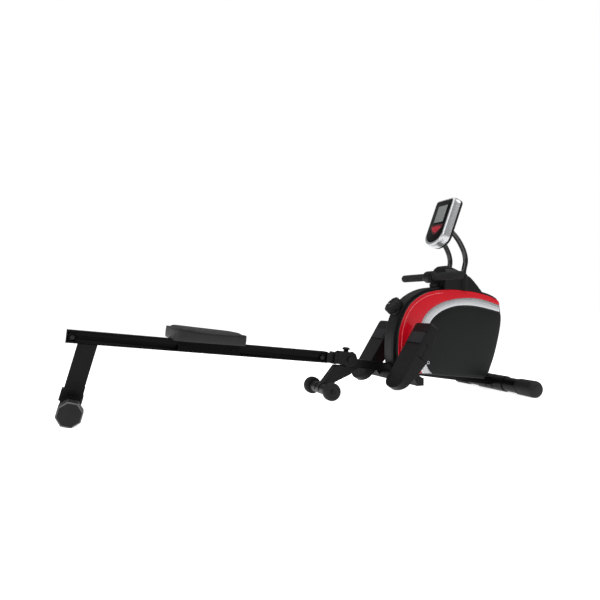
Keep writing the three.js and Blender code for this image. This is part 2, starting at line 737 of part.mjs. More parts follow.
const rimRun = [...backAndTop.slice(1), [517, 392], ...front];
const band = (low, high, halfFrom, halfTo, run = rimRun) =>
  slabY(outline([...offset(run, high), ...offset(run, low).reverse()]), halfFrom, halfTo);
const mouthForward = 230; // where the dome's rear face stands, at the strap's height
const guideForward = mouthForward + 28; // guide roller behind the mouth
const guideRadius = 12;
const guidePinRadius = 3;
const guideHeight = handleHeight - strapThickness / 2 - gap - guideRadius;
const strapRoom = strapWidth / 2 + 4;
const strapWell = block(guideForward - 16, guideForward + 18, -strapRoom, strapRoom, 380, handleHeight + 11);
const rim = () => {
  const skin = band(rimProud - 3, rimProud, -rimHalf, rimHalf);
  const flange = band(-6, rimProud - 2, rimHalf - 3, rimHalf);
  const inside = slabY(outline([...offset(rimRun, rimProud - 2), [452, 60], [14, 60]]), -rimHalf, rimHalf);
  const seatOfKnob = cut(toDrive(rodZ(26, -70, -knobLength / 2 - gap), knobPlace), inside);
  const bore = toDrive(rodZ(knobShaftRadius + running, -80, 0), knobPlace);
  const overBeam = [-10, 480].map((x) => [x, beamMiddle(shroudForward + x) + beamHalf + 1]);
  const beamRoom = slabY(outline([...overBeam, [480, 0], [-10, 0]]), -beamDepth / 2 - 1, beamDepth / 2 + 1);
  return cut(join(skin, flange, mirrored(flange), seatOfKnob), strapWell, bore, beamRoom);
};
add(drive, "shroud_rim", rim(), finishes.plastic);

// The coloured covers lie on the side shells, between the shroud's edge and two inner arcs.
const coverFrom = shroudHalf + gap;
const coverTo = coverFrom + coverThickness;
const silverInner = smooth([[163, 94], [140, 125], [124, 190], [149, 299], [200, 351], [275, 378], [352, 382], [428, 372], [513, 353]], 22);
const silverOuter = smooth([[115, 97], [96, 140], [90, 200], [110, 304], [150, 360], [225, 398], [326, 414], [415, 409], [512, 383]], 22);
const redOuter = offset(backAndTop, -1.5);
const redShape = outline([...redOuter, [512, 397], ...offset(silverOuter, gap).reverse()]);
addPair(drive, "red_cover", slabY(redShape, coverFrom, coverTo), finishes.red);
const silverShape = outline([...silverOuter, ...offset(silverInner, 0).reverse()]);
addPair(drive, "silver_trim", slabY(silverShape, coverFrom, coverTo - 1), finishes.silver);

// Dome over the strap's mouth, with a shelf for the handle and sockets for the console tubes.
const domeHalf = 58;
const tubeForward = 326; // where the console tubes stand in the dome
const tubeFoot = 470;
const handleForward = 194;
const tubeAlong = (radius) => {
  const points = [
    [tubeForward, tubeFoot + gap],
    [tubeForward, 530],
    [335, 571],
    [331, 603],
    [318, 633],
    [300, 661],
    [282, 682],
    [266, 696],
  ];
  const path = new THREE.CatmullRomCurve3(points.map(([x, z]) => new THREE.Vector3(x, tubeHalfSpacing, z)));
  const round = new THREE.Shape().absarc(0, 0, radius, 0, Math.PI * 2);
  return new THREE.ExtrudeGeometry(round, {
    steps: 16,
    curveSegments: 6,
    bevelEnabled: false,
    extrudePath: path,
  });
};
const dome = () => {
  const crest = smooth(
    [[mouthForward - 2, 440], [mouthForward + 6, 529], [256, 555], [300, 537], [362, 503], [432, 430]],
    20,
  );
  const body = slabY(outline([...crest, [432, 400], [mouthForward - 2, 400]]), -domeHalf, domeHalf);
  const crown = slabX(
    outline([
      [-domeHalf, 380],
      [domeHalf, 380],
      [domeHalf, 505],
      [44, 540],
      [26, 556],
      [-26, 556],
      [-44, 540],
      [-domeHalf, 505],
    ]),
    mouthForward - 10,
    450,
  );
  const shelfTop = handleHeight - handleBlockRadius - 1;
  const shelf = block(handleForward + 11, mouthForward + 12, -26, 26, 440, shelfTop);
  const boss = rodZ(tubeRadius + 4, 430, 512, tubeForward, tubeHalfSpacing);
  const socketFoot = rodZ(tubeRadius + gap, tubeFoot, tubeFoot + 12, tubeForward, tubeHalfSpacing);
  const socket = join(socketFoot, tubeAlong(tubeRadius + gap));
  const underRim = slabY(
    outline([...offset(rimRun, rimProud + gap), [452, 60], [14, 60]]),
    -rimHalf - gap,
    rimHalf + gap,
  );
  const underShell = slabY(outline([...offset(backAndTop, gap), [500, 60], [14, 60]]), -90, 90);
  const mouth = block(mouthForward - 20, guideForward, -strapRoom, strapRoom, 492, handleHeight + 11);
  const solid = join(common(body, crown), shelf, boss, mirrored(boss));
  const hollowed = cut(solid, underShell, underRim, mouth, strapWell, socket, mirrored(socket));
  return join(hollowed, rodY(guidePinRadius, -strapRoom - 2, strapRoom + 2, guideForward, guideHeight, 20));
};
add(drive, "top_cover", dome(), finishes.plastic);

const guideRoller = turned(
  [
    [guidePinRadius + running, -strapRoom + 1],
    [guideRadius, -strapRoom + 1],
    [guideRadius, strapRoom - 1],
    [guidePinRadius + running, strapRoom - 1],
    [guidePinRadius + running, -strapRoom + 1],
  ],
  28,
);
add(frameAt(guideForward, guideHeight, 0, drive), "guide_roller", guideRoller, finishes.plastic);

// ---- drive inside the shroud --------------------------------------------------------------------------
const flywheelForward = 345;
const flywheelHeight = 240;
const reelForward = 200;
const reelHeight = 340;
const plateInner = 33;
const plateOuter = 37;
const pulleyFrom = 20;
const pulleyTo = 30;
const magnetPivotAngle = THREE.MathUtils.degToRad(85);
const magnetPivotReach = flywheelRadius + 20;
const magnetForward = flywheelForward + magnetPivotReach * Math.cos(magnetPivotAngle);
const magnetHeight = flywheelHeight + magnetPivotReach * Math.sin(magnetPivotAngle);
const magnetPinRadius = 4;

const driveBracket = () => {
  const beamTop = (x) => beamMiddle(shroudForward + x) + beamHalf + gap;
  const rearX = 150;
  const frontX = 400;
  const side = outline([
    [rearX, beamTop(rearX)],
    [frontX, beamTop(frontX)],
    [magnetForward + 40, flywheelHeight],
    [magnetForward + 18, magnetHeight + 12],
    [magnetForward - 18, magnetHeight + 12],
    [reelForward - 10, reelHeight + 24],
    [reelForward - 26, reelHeight],
  ]);
  const base = slabY(
    outline([
      [rearX, beamTop(rearX)],
      [frontX, beamTop(frontX)],
      [frontX, beamTop(frontX) + 4],
      [rearX, beamTop(rearX) + 4],
    ]),
    -plateOuter,
    plateOuter,
  );
  const plate = slabY(side, plateInner, plateOuter);
  const pin = rodY(magnetPinRadius, -plateOuter, plateOuter, magnetForward, magnetHeight, 24);
  const hole = (x, z) => rodY(axleRadius + gap, -plateOuter - 1, plateOuter + 1, x, z);
  const solid = join(base, plate, mirrored(plate), pin);
  return cut(solid, hole(flywheelForward, flywheelHeight), hole(reelForward, reelHeight));
};
add(drive, "drive_bracket", driveBracket(), finishes.iron);

const axle = () => {
  const nut = rodY(12, plateOuter + gap, plateOuter + 6, 0, 0, 6);
  return join(rodY(axleRadius, -plateOuter - 2, plateOuter + 2), nut, mirrored(nut));
};
const flywheelHub = frameAt(flywheelForward, flywheelHeight, 0, drive);
const reelHub = frameAt(reelForward, reelHeight, 0, drive);
add(flywheelHub, "flywheel_axle", axle(), finishes.steel);
add(reelHub, "reel_axle", axle(), finishes.steel);

const boreRadius = axleRadius + running;
const flywheelRimWidth = 30;
const flywheel = turned(
  [
    [boreRadius, -14],
    [24, -14],
    [24, -3],
    [flywheelRadius - flywheelRimWidth, -3],
    [flywheelRadius - flywheelRimWidth, -flywheelWidth / 2],
    [flywheelRadius, -flywheelWidth / 2],
    [flywheelRadius, flywheelWidth / 2],
    [flywheelRadius - flywheelRimWidth, flywheelWidth / 2],
    [flywheelRadius - flywheelRimWidth, 3],
    [16, 3],
    [16, pulleyFrom],
    [flywheelPulleyRadius, pulleyFrom],
    [flywheelPulleyRadius, pulleyTo],
    [boreRadius, pulleyTo],
    [boreRadius, -14],
  ],
  32,
);
add(flywheelHub, "flywheel", flywheel, finishes.iron);

const drivePulley = turned([
  [boreRadius, pulleyFrom - 2.5],
  [20, pulleyFrom - 2.5],
  [20, pulleyFrom + 2],
  [drivePulleyRadius - 10, pulleyFrom + 2],
  [drivePulleyRadius - 10, pulleyFrom],
  [drivePulleyRadius, pulleyFrom],
  [drivePulleyRadius, pulleyTo],
  [drivePulleyRadius - 10, pulleyTo],
  [drivePulleyRadius - 10, pulleyTo - 2],
  [20, pulleyTo - 2],
  [20, pulleyTo + 1],
  [boreRadius, pulleyTo + 1],
  [boreRadius, pulleyFrom - 2.5],
]);
add(reelHub, "drive_pulley", drivePulley, finishes.plastic);

const reelFlange = 1.5;
const reelHalf = strapWidth / 2 + 0.6 + reelFlange;
const reel = turned([
  [boreRadius, -reelHalf],
  [reelRadius + 6, -reelHalf],
  [reelRadius + 6, reelFlange - reelHalf],
  [reelRadius, reelFlange - reelHalf],
  [reelRadius, reelHalf - reelFlange],
  [reelRadius + 6, reelHalf - reelFlange],
  [reelRadius + 6, reelHalf],
  [boreRadius, reelHalf],
  [boreRadius, -reelHalf],
]);
add(reelHub, "strap_reel", reel, finishes.plastic);

// Angles at which a band pulled round two discs on its right-hand side leaves them.
const leavingAngle = (fromX, fromZ, fromRadius, toX, toZ, toRadius, side) => {
  const reach = Math.hypot(toX - fromX, toZ - fromZ);
  return Math.atan2(toZ - fromZ, toX - fromX) + side * Math.acos((fromRadius - toRadius) / reach);
};

const beltRun = (extra) => {
  const bigRadius = drivePulleyRadius + gap + extra;
  const smallRadius = flywheelPulleyRadius + gap + extra;
  const ends = [reelForward, reelHeight, bigRadius, flywheelForward, flywheelHeight, smallRadius];
  const upper = leavingAngle(...ends, 1);
  const lower = leavingAngle(...ends, -1);
  return [
    ...arc(reelForward, reelHeight, bigRadius, upper, lower + Math.PI * 2, 24),
    ...arc(flywheelForward, flywheelHeight, smallRadius, lower, upper, 12),
  ];
};
const beltMiddle = (pulleyFrom + pulleyTo) / 2;
const beltShape = outline(beltRun(beltThickness));
beltShape.holes.push(new THREE.Path(beltRun(0).map(([x, z]) => new THREE.Vector2(x, z))));
const belt = slabY(beltShape, beltMiddle - beltWidth / 2, beltMiddle + beltWidth / 2);
add(drive, "drive_belt", belt, finishes.rubber);

// Arm with magnets, swung towards the flywheel's edge or away from it.
const magnetArm = () => {
  const inner = flywheelRadius + 6;
  const from = THREE.MathUtils.degToRad(20);
  const to = THREE.MathUtils.degToRad(88);
  const ring = (low, high, start, end) =>
    outline([
      ...arc(flywheelForward, flywheelHeight, high, start, end, 12),
      ...arc(flywheelForward, flywheelHeight, low, end, start, 12),
    ]);
  const arm = slabY(ring(inner - 1, inner + 6, from, to), -14, 14);
  const magnets = [0.1, 0.4, 0.7].map((part) => {
    const start = from + (to - from) * part;
    return slabY(ring(inner - 3.5, inner, start, start + 0.2), -10, 10);
  });
  const hub = rodY(10, -14, 14, magnetForward, magnetHeight, 28);
  const bore = rodY(magnetPinRadius + running, -15, 15, magnetForward, magnetHeight, 24);
  return cut(join(arm, hub, ...magnets), bore);
};
add(drive, "magnet_arm", magnetArm(), finishes.iron);

// Tension knob on the shroud's shoulder, its shaft reaching inside.
const knob = frameAt(11, 381, knobTurn, drive);
const tensionKnob = () => {
  const half = knobLength / 2;
  const flutes = [...Array(10).keys()].map((i) => {
    const angle = ((i + 0.5) * Math.PI * 2) / 10;
    const reach = knobRadius + 3.5;
    return rodZ(6, -half - 1, half + 1, reach * Math.cos(angle), reach * Math.sin(angle), 12);
  });
  const body = turned([[0, -half], [knobRadius, -half], [knobRadius, half - 4], [knobRadius - 4, half], [0, half]], 36);
  const shaft = rodZ(knobShaftRadius, -half - 34, -half + 1);
  return join(cut(body.rotateX(Math.PI / 2), ...flutes), shaft);
};
add(knob, "tension_knob", tensionKnob(), finishes.plastic);

// ---- handle and strap ---------------------------------------------------------------------------------
const handle = frameAt(handleForward, handleHeight, 0, drive);
const gripInner = handleBlockLength / 2 + 3;
const gripEnd = 2;
const tubeEnd = handleSpread / 2 - gripEnd - gap;
const handleBar = () => {
  const half = handleBlockLength / 2;
  const hub = turned([
    [0, -half],
    [gripRadius, -half],
    [gripRadius + 3, 8 - half],
    [handleBlockRadius, 10 - half],
    [handleBlockRadius, half - 10],
    [gripRadius + 3, half - 8],
    [gripRadius, half],
    [0, half],
  ]);
  return join(hub, rodY(handleTubeRadius, -tubeEnd, tubeEnd));
};
add(handle, "handle_bar", handleBar(), finishes.plastic);

const grip = turned([
  [0, tubeEnd + gap],
  [handleTubeRadius + gap, tubeEnd + gap],
  [handleTubeRadius + gap, gripInner],
  [gripRadius, gripInner],
  [gripRadius, handleSpread / 2 - 3],
  [gripRadius - 3, handleSpread / 2],
  [0, handleSpread / 2],
], 28);
addPair(handle, "handle_grip", grip, finishes.foam);

const strap = () => {
  const reelRun = reelRadius + gap + strapThickness / 2;
  const guideRun = guideRadius + gap + strapThickness / 2;
  const leave = leavingAngle(reelForward, reelHeight, reelRun, guideForward, guideHeight, guideRun, -1);
  const run = [
    ...arc(reelForward, reelHeight, reelRun, leave - 0.5, leave, 4),
    ...arc(guideForward, guideHeight, guideRun, leave, Math.PI / 2, 8),
    [handleForward + handleBlockRadius + gap, handleHeight],
  ];
  const half = strapThickness / 2;
  return slabY(outline([...offset(run, half), ...offset(run, -half).reverse()]), -strapWidth / 2, strapWidth / 2);
};
add(drive, "strap", strap(), finishes.webbing);

// ---- console --------------------------------------------------------------------------------------------
const consoleForward = 267;
const consolePlace = placed(consoleForward, consoleHeight, consoleTilt);
const console = frameAt(consoleForward, consoleHeight, consoleTilt, drive);
const consoleTop = 18;
const consoleBottom = -206;
const consoleChin = 50; // height of the rounded lower end

addPair(drive, "console_tube", tubeAlong(tubeRadius), finishes.paint);

// Round-bottomed outline, in Y and Z, drawn in from the console's edge.
const consoleOutline = (inset) => {
  const half = consoleHalf - inset;
  const top = consoleTop - inset;
  const corner = 12 - inset / 4;
  const low = consoleBottom + consoleChin;
  const shape = new THREE.Shape();
  shape.absarc(half - corner, top - corner, corner, 0, Math.PI / 2);
  shape.absarc(corner - half, top - corner, corner, Math.PI / 2, Math.PI);
  shape.absellipse(0, low, half, consoleChin - inset, Math.PI, Math.PI * 2);
  return shape;
};
const faceShape = (inset) => {
  const half = consoleHalf - consoleFrameWidth - inset;
  const top = consoleTop - consoleFrameWidth - inset;
  const low = consoleBottom + consoleChin + 12;
  const shape = new THREE.Shape();
  shape.absarc(half - 8, top - 8, 8, 0, Math.PI / 2);
  shape.absarc(8 - half, top - 8, 8, Math.PI / 2, Math.PI);
  shape.absellipse(0, low, half, consoleChin - 2 - inset, Math.PI, Math.PI * 2);
  return shape;
};
const ring = cut(slabX(consoleOutline(0), 0, consoleDepth), slabX(faceShape(0), -1, consoleDepth + 1));
add(console, "console_frame", ring, finishes.silver);

const screenHalf = 34;
const screenTop = -17;
const screenBottom = -96;
const padHalf = 50;
const padTop = -107;
const padBottom = -158;
const centred = (half, top, bottom, radius, fromX, toX) =>
  slabX(roundedRectangle(half, (top - bottom) / 2, radius), fromX, toX).translate(0, 0, (top + bottom) / 2);
const consoleFace = cut(
  slabX(faceShape(gap), 1.5, 9),
  centred(screenHalf + gap, screenTop + gap, screenBottom - gap, 3, 1, 5),
  centred(padHalf + gap, padTop + gap, padBottom - gap, 8, 1, 6),
);
add(console, "console_face", consoleFace, finishes.plastic);
add(console, "console_screen", centred(screenHalf, screenTop, screenBottom, 3, 2, 5 - gap), finishes.screen);
add(console, "console_button", centred(padHalf, padTop, padBottom, 8, 0.6, 4), finishes.red);

const consoleBack = () => {
  const toConsole = consolePlace.clone().invert();
  const shell = slabX(consoleOutline(2), consoleDepth + gap, consoleDepth + 8);
  const inset = slabX(faceShape(1), consoleDepth - consoleBackDepth + 6, consoleDepth + 1);
  const socket = tubeAlong(tubeRadius + gap * 2).applyMatrix4(toConsole);
  return cut(join(shell, inset), socket, mirrored(socket));
};
add(console, "console_back", consoleBack(), finishes.plastic);

export default machine;
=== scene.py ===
import bpy, bmesh, json, math
from mathutils import Matrix, Vector
from mathutils.bvhtree import BVHTree
from mathutils.geometry import convex_hull_2d

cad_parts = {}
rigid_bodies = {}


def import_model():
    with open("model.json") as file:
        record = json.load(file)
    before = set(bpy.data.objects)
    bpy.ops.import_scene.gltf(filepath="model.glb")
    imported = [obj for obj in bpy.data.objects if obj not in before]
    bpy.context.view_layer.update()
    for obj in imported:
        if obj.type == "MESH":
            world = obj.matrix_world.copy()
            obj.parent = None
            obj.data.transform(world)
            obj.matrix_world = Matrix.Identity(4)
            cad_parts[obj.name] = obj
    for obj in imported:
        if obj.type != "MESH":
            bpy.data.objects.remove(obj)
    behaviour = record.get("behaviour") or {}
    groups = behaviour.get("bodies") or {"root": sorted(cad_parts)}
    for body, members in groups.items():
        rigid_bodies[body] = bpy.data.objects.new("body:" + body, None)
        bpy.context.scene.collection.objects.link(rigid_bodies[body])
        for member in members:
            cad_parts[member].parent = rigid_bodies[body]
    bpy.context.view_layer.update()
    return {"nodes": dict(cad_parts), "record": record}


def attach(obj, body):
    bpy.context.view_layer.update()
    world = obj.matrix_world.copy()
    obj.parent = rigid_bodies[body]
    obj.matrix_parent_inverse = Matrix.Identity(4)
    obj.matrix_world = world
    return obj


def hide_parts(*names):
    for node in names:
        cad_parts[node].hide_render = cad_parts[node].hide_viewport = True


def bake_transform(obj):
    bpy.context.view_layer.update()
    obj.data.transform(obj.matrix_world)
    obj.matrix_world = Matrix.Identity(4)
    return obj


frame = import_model()
record = frame["record"]
bodyOf = {node: body for body, nodes in record["behaviour"]["bodies"].items() for node in nodes}
slotOf = {part["node"]: part["material_slot"] for part in record["subparts"]}
jointAt = {joint["name"]: Vector(joint["pos_m"]) for joint in record["behaviour"]["joints"] if "pos_m" in joint}
mm = 0.001
# Millimetres from the fold pivot, and the rail's slope in degrees
layout = {
    "slope": 6.2, "shroud": 205, "frontFoot": 737, "frontRadius": 34.7, "rearFoot": 1071, "rearLean": 10.6,
        "rearUp": 41.3,
    "wheels": 114, "wheelsUp": 49,
}
pivot = jointAt["rail_fold"]
driveForward = pivot.x + layout["shroud"] * mm  # rear edge of the shroud
railPlace = Matrix.Translation(pivot) @ Matrix.Rotation(math.radians(layout["slope"]), 4, "Y")
drivePlace = Matrix.Translation((driveForward, 0, 0))
print("frame loaded")

# Camera, floor and light
camera = {"place": (-0.8474, -2.1427, 0.3962), "turn": (math.pi / 2 + 0.0037, 0, -0.3586), "lens": 34.5}
cameraData = bpy.data.cameras.new("camera")
cameraData.lens = camera["lens"]
cameraData.sensor_width = 36
cameraObject = bpy.data.objects.new("camera", cameraData)
cameraObject.location = camera["place"]
cameraObject.rotation_euler = camera["turn"]
bpy.context.scene.collection.objects.link(cameraObject)
bpy.context.scene.camera = cameraObject
bpy.context.scene.view_settings.view_transform = "Standard"


# A wrapped socket, so that patterns read as sums
class Field:
    def __init__(self, finish, socket):
        self.finish = finish
        self.socket = socket

    def sum(self, operation, *others, clamp=False):
        settings = {"operation": operation, "use_clamp": clamp}
        values = {i: other for i, other in enumerate((self, *others))}
        return self.finish.make("ShaderNodeMath", settings, values)

    def __add__(self, other): return self.sum("ADD", other)
    def __sub__(self, other): return self.sum("SUBTRACT", other)
    def __mul__(self, other): return self.sum("MULTIPLY", other)
    def __truediv__(self, other): return self.sum("DIVIDE", other)
    def __radd__(self, other): return self.sum("ADD", other)
    def __rmul__(self, other): return self.sum("MULTIPLY", other)
    def __rsub__(self, other): return (self * -1) + other
    def clip(self): return self.sum("ADD", 0.0, clamp=True)
    def over(self, edge): return self.sum("GREATER_THAN", edge)
    def sine(self): return self.sum("SINE")
    def size(self): return self.sum("ABSOLUTE")


class Finish:
    def __init__(self, name, **constants):
        self.material = bpy.data.materials.new(name)
        self.material.use_nodes = True
        self.nodes = self.material.node_tree.nodes
        self.links = self.material.node_tree.links
        self.shader = self.nodes["Principled BSDF"]
        for socket, value in constants.items():
            self.shader.inputs[socket.replace("_", " ")].default_value = value

    # Any node: its settings first, then the values or links of its sockets
    def make(self, kind, settings=None, sockets=None, output=0):
        node = self.nodes.new(kind)
        for name, value in (settings or {}).items():
            setattr(node, name, value)
        for key, value in (sockets or {}).items():
            if isinstance(value, Field):
                self.links.new(value.socket, node.inputs[key])
            else:
                node.inputs[key].default_value = value
        return Field(self, node.outputs[output])

    def position(self):
        return self.make("ShaderNodeTexCoord", output="Object")

    def noise(self, scale, detail=3.0, vector=None):
        return self.make("ShaderNodeTexNoise", None, {"Vector": vector or self.position(), "Scale": scale,
            "Detail": detail})

    def cells(self, scale, feature="F1", vector=None):
        return self.make("ShaderNodeTexVoronoi", {"feature": feature},
            {"Vector": vector or self.position(), "Scale": scale})

    def mix(self, factor, first, second):
        colours = {6: first, 7: second}
        return self.make("ShaderNodeMix", {"data_type": "RGBA"}, {0: factor, **colours}, output=2)

    def edges(self, strength):
        point = self.make("ShaderNodeNewGeometry", output="Pointiness")
        return ((point - 0.53) * strength).clip()

    def upward(self):
        normal = self.make("ShaderNodeNewGeometry", output="Normal")
        return self.make("ShaderNodeSeparateXYZ", None, {0: normal}, output=2)

    def bump(self, height, strength, distance):
        return self.make("ShaderNodeBump", None, {"Height": height, "Strength": strength, "Distance": distance})

    def feed(self, **sockets):
        for name, value in sockets.items():
            self.links.new(value.socket, self.shader.inputs[name.replace("_", " ")])
        return self.material


# Satin paint or moulded plastic: fine grain, a little dust on top, worn edges
def satin(name, colour, roughness, grain, grainHeight, specular=0.16, wear=6.0, dust=0.02):
    finish = Finish(name, Specular_IOR_Level=specular)
    base = (*colour, 1.0)
    lighter = tuple(c * 2.4 + 0.02 for c in colour) + (1.0,)
    patches = finish.noise(9.0)
    rub = (finish.edges(wear) * (finish.noise(60.0) * 1.6 - 0.4).clip()).clip()
    settled = (finish.upward().clip() * (finish.noise(35.0, 5.0) * 1.4 - 0.35).clip() * dust).clip()
    tone = finish.mix((patches * 0.35).clip(), base, tuple(c * 1.35 for c in colour) + (1.0,))
    worn = finish.mix((rub * 0.5).clip(), tone, lighter)
    dusty = finish.mix(settled, worn, (0.16, 0.155, 0.15, 1.0))
    fine = finish.noise(grain, 2.0)
    rough = finish.noise(22.0) * 0.12 + (roughness - 0.06) + settled * 0.5
    return finish.feed(Base_Color=dusty, Roughness=rough.clip(), Normal=finish.bump(fine, 0.35, grainHeight))


def glossPaint(name, colour, roughness, metallic=0.0, coat=1.0, flakeGlint=0.0):
    finish = Finish(name, Metallic=metallic, Coat_Weight=coat, Coat_Roughness=0.1, Specular_IOR_Level=0.3)
    # Painted glints: small random cells made lighter than the paint
    spark = finish.cells(1800.0)
    deeper = tuple(c * 0.82 for c in colour) + (1.0,)
    tone = finish.mix((finish.noise(7.0) * 0.5).clip(), (*colour, 1.0), deeper)
    glint = finish.mix((spark * flakeGlint).clip(), tone, tuple(min(c * 1.35, 1) for c in colour) + (1.0,))
    haze = finish.noise(45.0, 6.0) * 0.03 + (roughness - 0.02) + (finish.noise(240.0) * 0.02)
    ripple = finish.bump(finish.noise(55.0, 1.0), 0.05, 0.0004)
    return finish.feed(Base_Color=glint, Roughness=haze.clip(), Normal=ripple)


def rubberLike(name, colour, roughness, grain, height, cellular=False):
    finish = Finish(name, Specular_IOR_Level=0.14)
    base = (*colour, 1.0)
    pale = tuple(c * 2.0 + 0.01 for c in colour) + (1.0,)
    bloom = (finish.noise(14.0, 5.0) * 1.5 - 0.45).clip()
    tone = finish.mix((bloom * 0.4 + finish.edges(5.0) * 0.5).clip(), base, pale)
    grainField = finish.cells(grain) if cellular else finish.noise(grain, 3.0)
    rough = finish.noise(30.0) * 0.14 + (roughness - 0.07)
    return finish.feed(Base_Color=tone, Roughness=rough.clip(), Normal=finish.bump(grainField, 0.5, height))


def vinyl(name, colour):
    finish = Finish(name, Specular_IOR_Level=0.22)
    grain = finish.cells(420.0, "DISTANCE_TO_EDGE")
    # Painted shade: the grain's valleys are coloured darker
    shadedValleys = (1 - grain * 9.0).clip()
    tone = finish.mix((shadedValleys * 0.6).clip(), (*colour, 1.0), tuple(c * 0.45 for c in colour) + (1.0,))
    rubbed = finish.mix((finish.noise(11.0, 4.0) * 0.9 - 0.3).clip(), tone,
        tuple(c * 1.5 for c in colour) + (1.0,))
    rough = finish.noise(18.0) * 0.16 + 0.42 + shadedValleys * 0.12
    folds = (grain * 2.0).clip() + finish.noise(26.0, 4.0) * 0.5
    return finish.feed(Base_Color=rubbed, Roughness=rough.clip(), Normal=finish.bump(folds, 0.45, 0.0005))


# Woven webbing, along and across the strap's own run
def woven(name, colour):
    finish = Finish(name, Specular_IOR_Level=0.2)
    run = finish.make("ShaderNodeUVMap", {"uv_map": "run"})
    along = finish.make("ShaderNodeSeparateXYZ", None, {0: run}, output=0)
    across = finish.make("ShaderNodeSeparateXYZ", None, {0: run}, output=1)
    warp = (along * 2600.0 + (across * 1700.0).sine() * 1.2).sine()
    weft = (across * 3400.0).sine()
    weave = (warp * weft * 0.5 + 0.5).clip()
    tone = finish.mix((weave * 0.7 + finish.noise(60.0) * 0.3).clip(), tuple(c * 0.5 for c in colour) + (1.0,),
        (*colour, 1.0))
    rough = weave * 0.1 + 0.78
    return finish.feed(Base_Color=tone, Roughness=rough.clip(), Normal=finish.bump(weave, 0.7, 0.0004))


def metal(name, colour, roughness, grainScale, streak):
    finish = Finish(name, Metallic=1.0)
    stretched = finish.make("ShaderNodeMapping", None, {"Vector": finish.position(), "Scale": streak})
    lines = finish.noise(grainScale, 4.0, stretched)
    tone = finish.mix((finish.noise(16.0, 5.0) * 0.8).clip(), (*colour, 1.0),
        tuple(c * 0.72 for c in colour) + (1.0,))
    rough = lines * 0.22 + (roughness - 0.1)
    return finish.feed(Base_Color=tone, Roughness=rough.clip(), Normal=finish.bump(lines, 0.25, 0.0002))


# Display: dark bars stand for the figures of a counter at rest
def display(name):
    finish = Finish(name, Coat_Weight=0.3, Coat_Roughness=0.06)
    run = finish.make("ShaderNodeUVMap", {"uv_map": "run"})
    across = finish.make("ShaderNodeSeparateXYZ", None, {0: run}, output=0)
    up = finish.make("ShaderNodeSeparateXYZ", None, {0: run}, output=1)
    columns = ((across * 420.0).sine() - 0.55).clip() * 2.0
    rows = ((up * 300.0 + 1.0).sine() - 0.2).clip() * 2.0
    inside = (0.027 - across.size()).over(0.0) * ((up + 0.0565).size() * -1 + 0.032).over(0.0)
    bars = (columns.clip() * rows.clip() * inside).clip()
    ground = finish.mix((finish.noise(30.0) * 0.4).clip(), (0.155, 0.165, 0.163, 1.0),
        (0.125, 0.134, 0.132, 1.0))
    tone = finish.mix((bars * 0.55).clip(), ground, (0.05, 0.055, 0.055, 1.0))
    rough = finish.noise(120.0) * 0.06 + 0.16
    return finish.feed(Base_Color=tone, Roughness=rough.clip(),
        Normal=finish.bump(finish.noise(90.0), 0.05, 0.0002))


finishes = {
    "frame_paint": satin("framePaint", (0.0018, 0.0018, 0.002), 0.32, 900.0, 0.0002, 0.14),
    "rail_finish": satin("railPaint", (0.0010, 0.0010, 0.0012), 0.3, 1100.0, 0.00015, 0.06),
    "black_plastic": satin("blackPlastic", (0.0042, 0.0042, 0.0045), 0.42, 1300.0, 0.0002, 0.14),
    "panel_plastic": satin("panelPlastic", (0.0062, 0.0066, 0.0068), 0.38, 1500.0, 0.00015, 0.14),
    "red_gloss": glossPaint("redGloss", (0.46, 0.0015, 0.010), 0.26, 0.0, 0.25),
    "silver_gloss": glossPaint("silverPaint", (0.47, 0.475, 0.49), 0.26, 0.75, 0.25),
    "black_rubber": rubberLike("blackRubber", (0.009, 0.009, 0.0095), 0.55, 700.0, 0.0004),
    "grip_foam": rubberLike("gripFoam", (0.010, 0.010, 0.0105), 0.85, 1100.0, 0.0005, True),
    "seat_skin": vinyl("seatVinyl", (0.014, 0.014, 0.0147)),
    "webbing": woven("strapWebbing", (0.016, 0.016, 0.018)),
    "bright_steel": metal("zincSteel", (0.55, 0.56, 0.57), 0.34, 300.0, (1.0, 8.0, 1.0)),
    "grey_iron": metal("castIron", (0.13, 0.13, 0.135), 0.6, 220.0, (1.0, 1.0, 1.0)),
    "screen_glass": display("displayGlass"),
}
# Lighter, glossier red for the crease bead: the lighter colour is a painted highlight, the gloss is real
highlightBeadRed = glossPaint("highlightBeadRed", (0.62, 0.03, 0.045), 0.12, 0.0, 1.0)
tubeGloss = satin("tubeGloss", (0.002, 0.002, 0.0022), 0.2, 900.0, 0.0001, 0.6)
# Lighter rubber for the rear caps' rims: a painted highlight along their chamfers
capRimHighlight = rubberLike("capRimHighlight", (0.075, 0.075, 0.077), 0.45, 700.0, 0.0003)
wellRed = glossPaint("wellRed", (0.06, 0.001, 0.004), 0.3, 0.0, 0.2)
keyRed = glossPaint("keyRed", (0.33, 0.003, 0.016), 0.3, 0.0, 0.3)
glossBlack = satin("glossBlack", (0.0015, 0.0015, 0.0018), 0.16, 1500.0, 0.00003, 0.12)
floorFinish = Finish("floorPaint", Specular_IOR_Level=0.0, Emission_Color=(1, 1, 1, 1), Emission_Strength=0.78)
floorTone = floorFinish.mix((floorFinish.noise(2.0) * 0.3).clip(), (0.93, 0.93, 0.93, 1), (0.91, 0.91, 0.91, 1))
floorFinish.feed(Base_Color=floorTone, Roughness=floorFinish.noise(6.0) * 0.1 + 0.75)

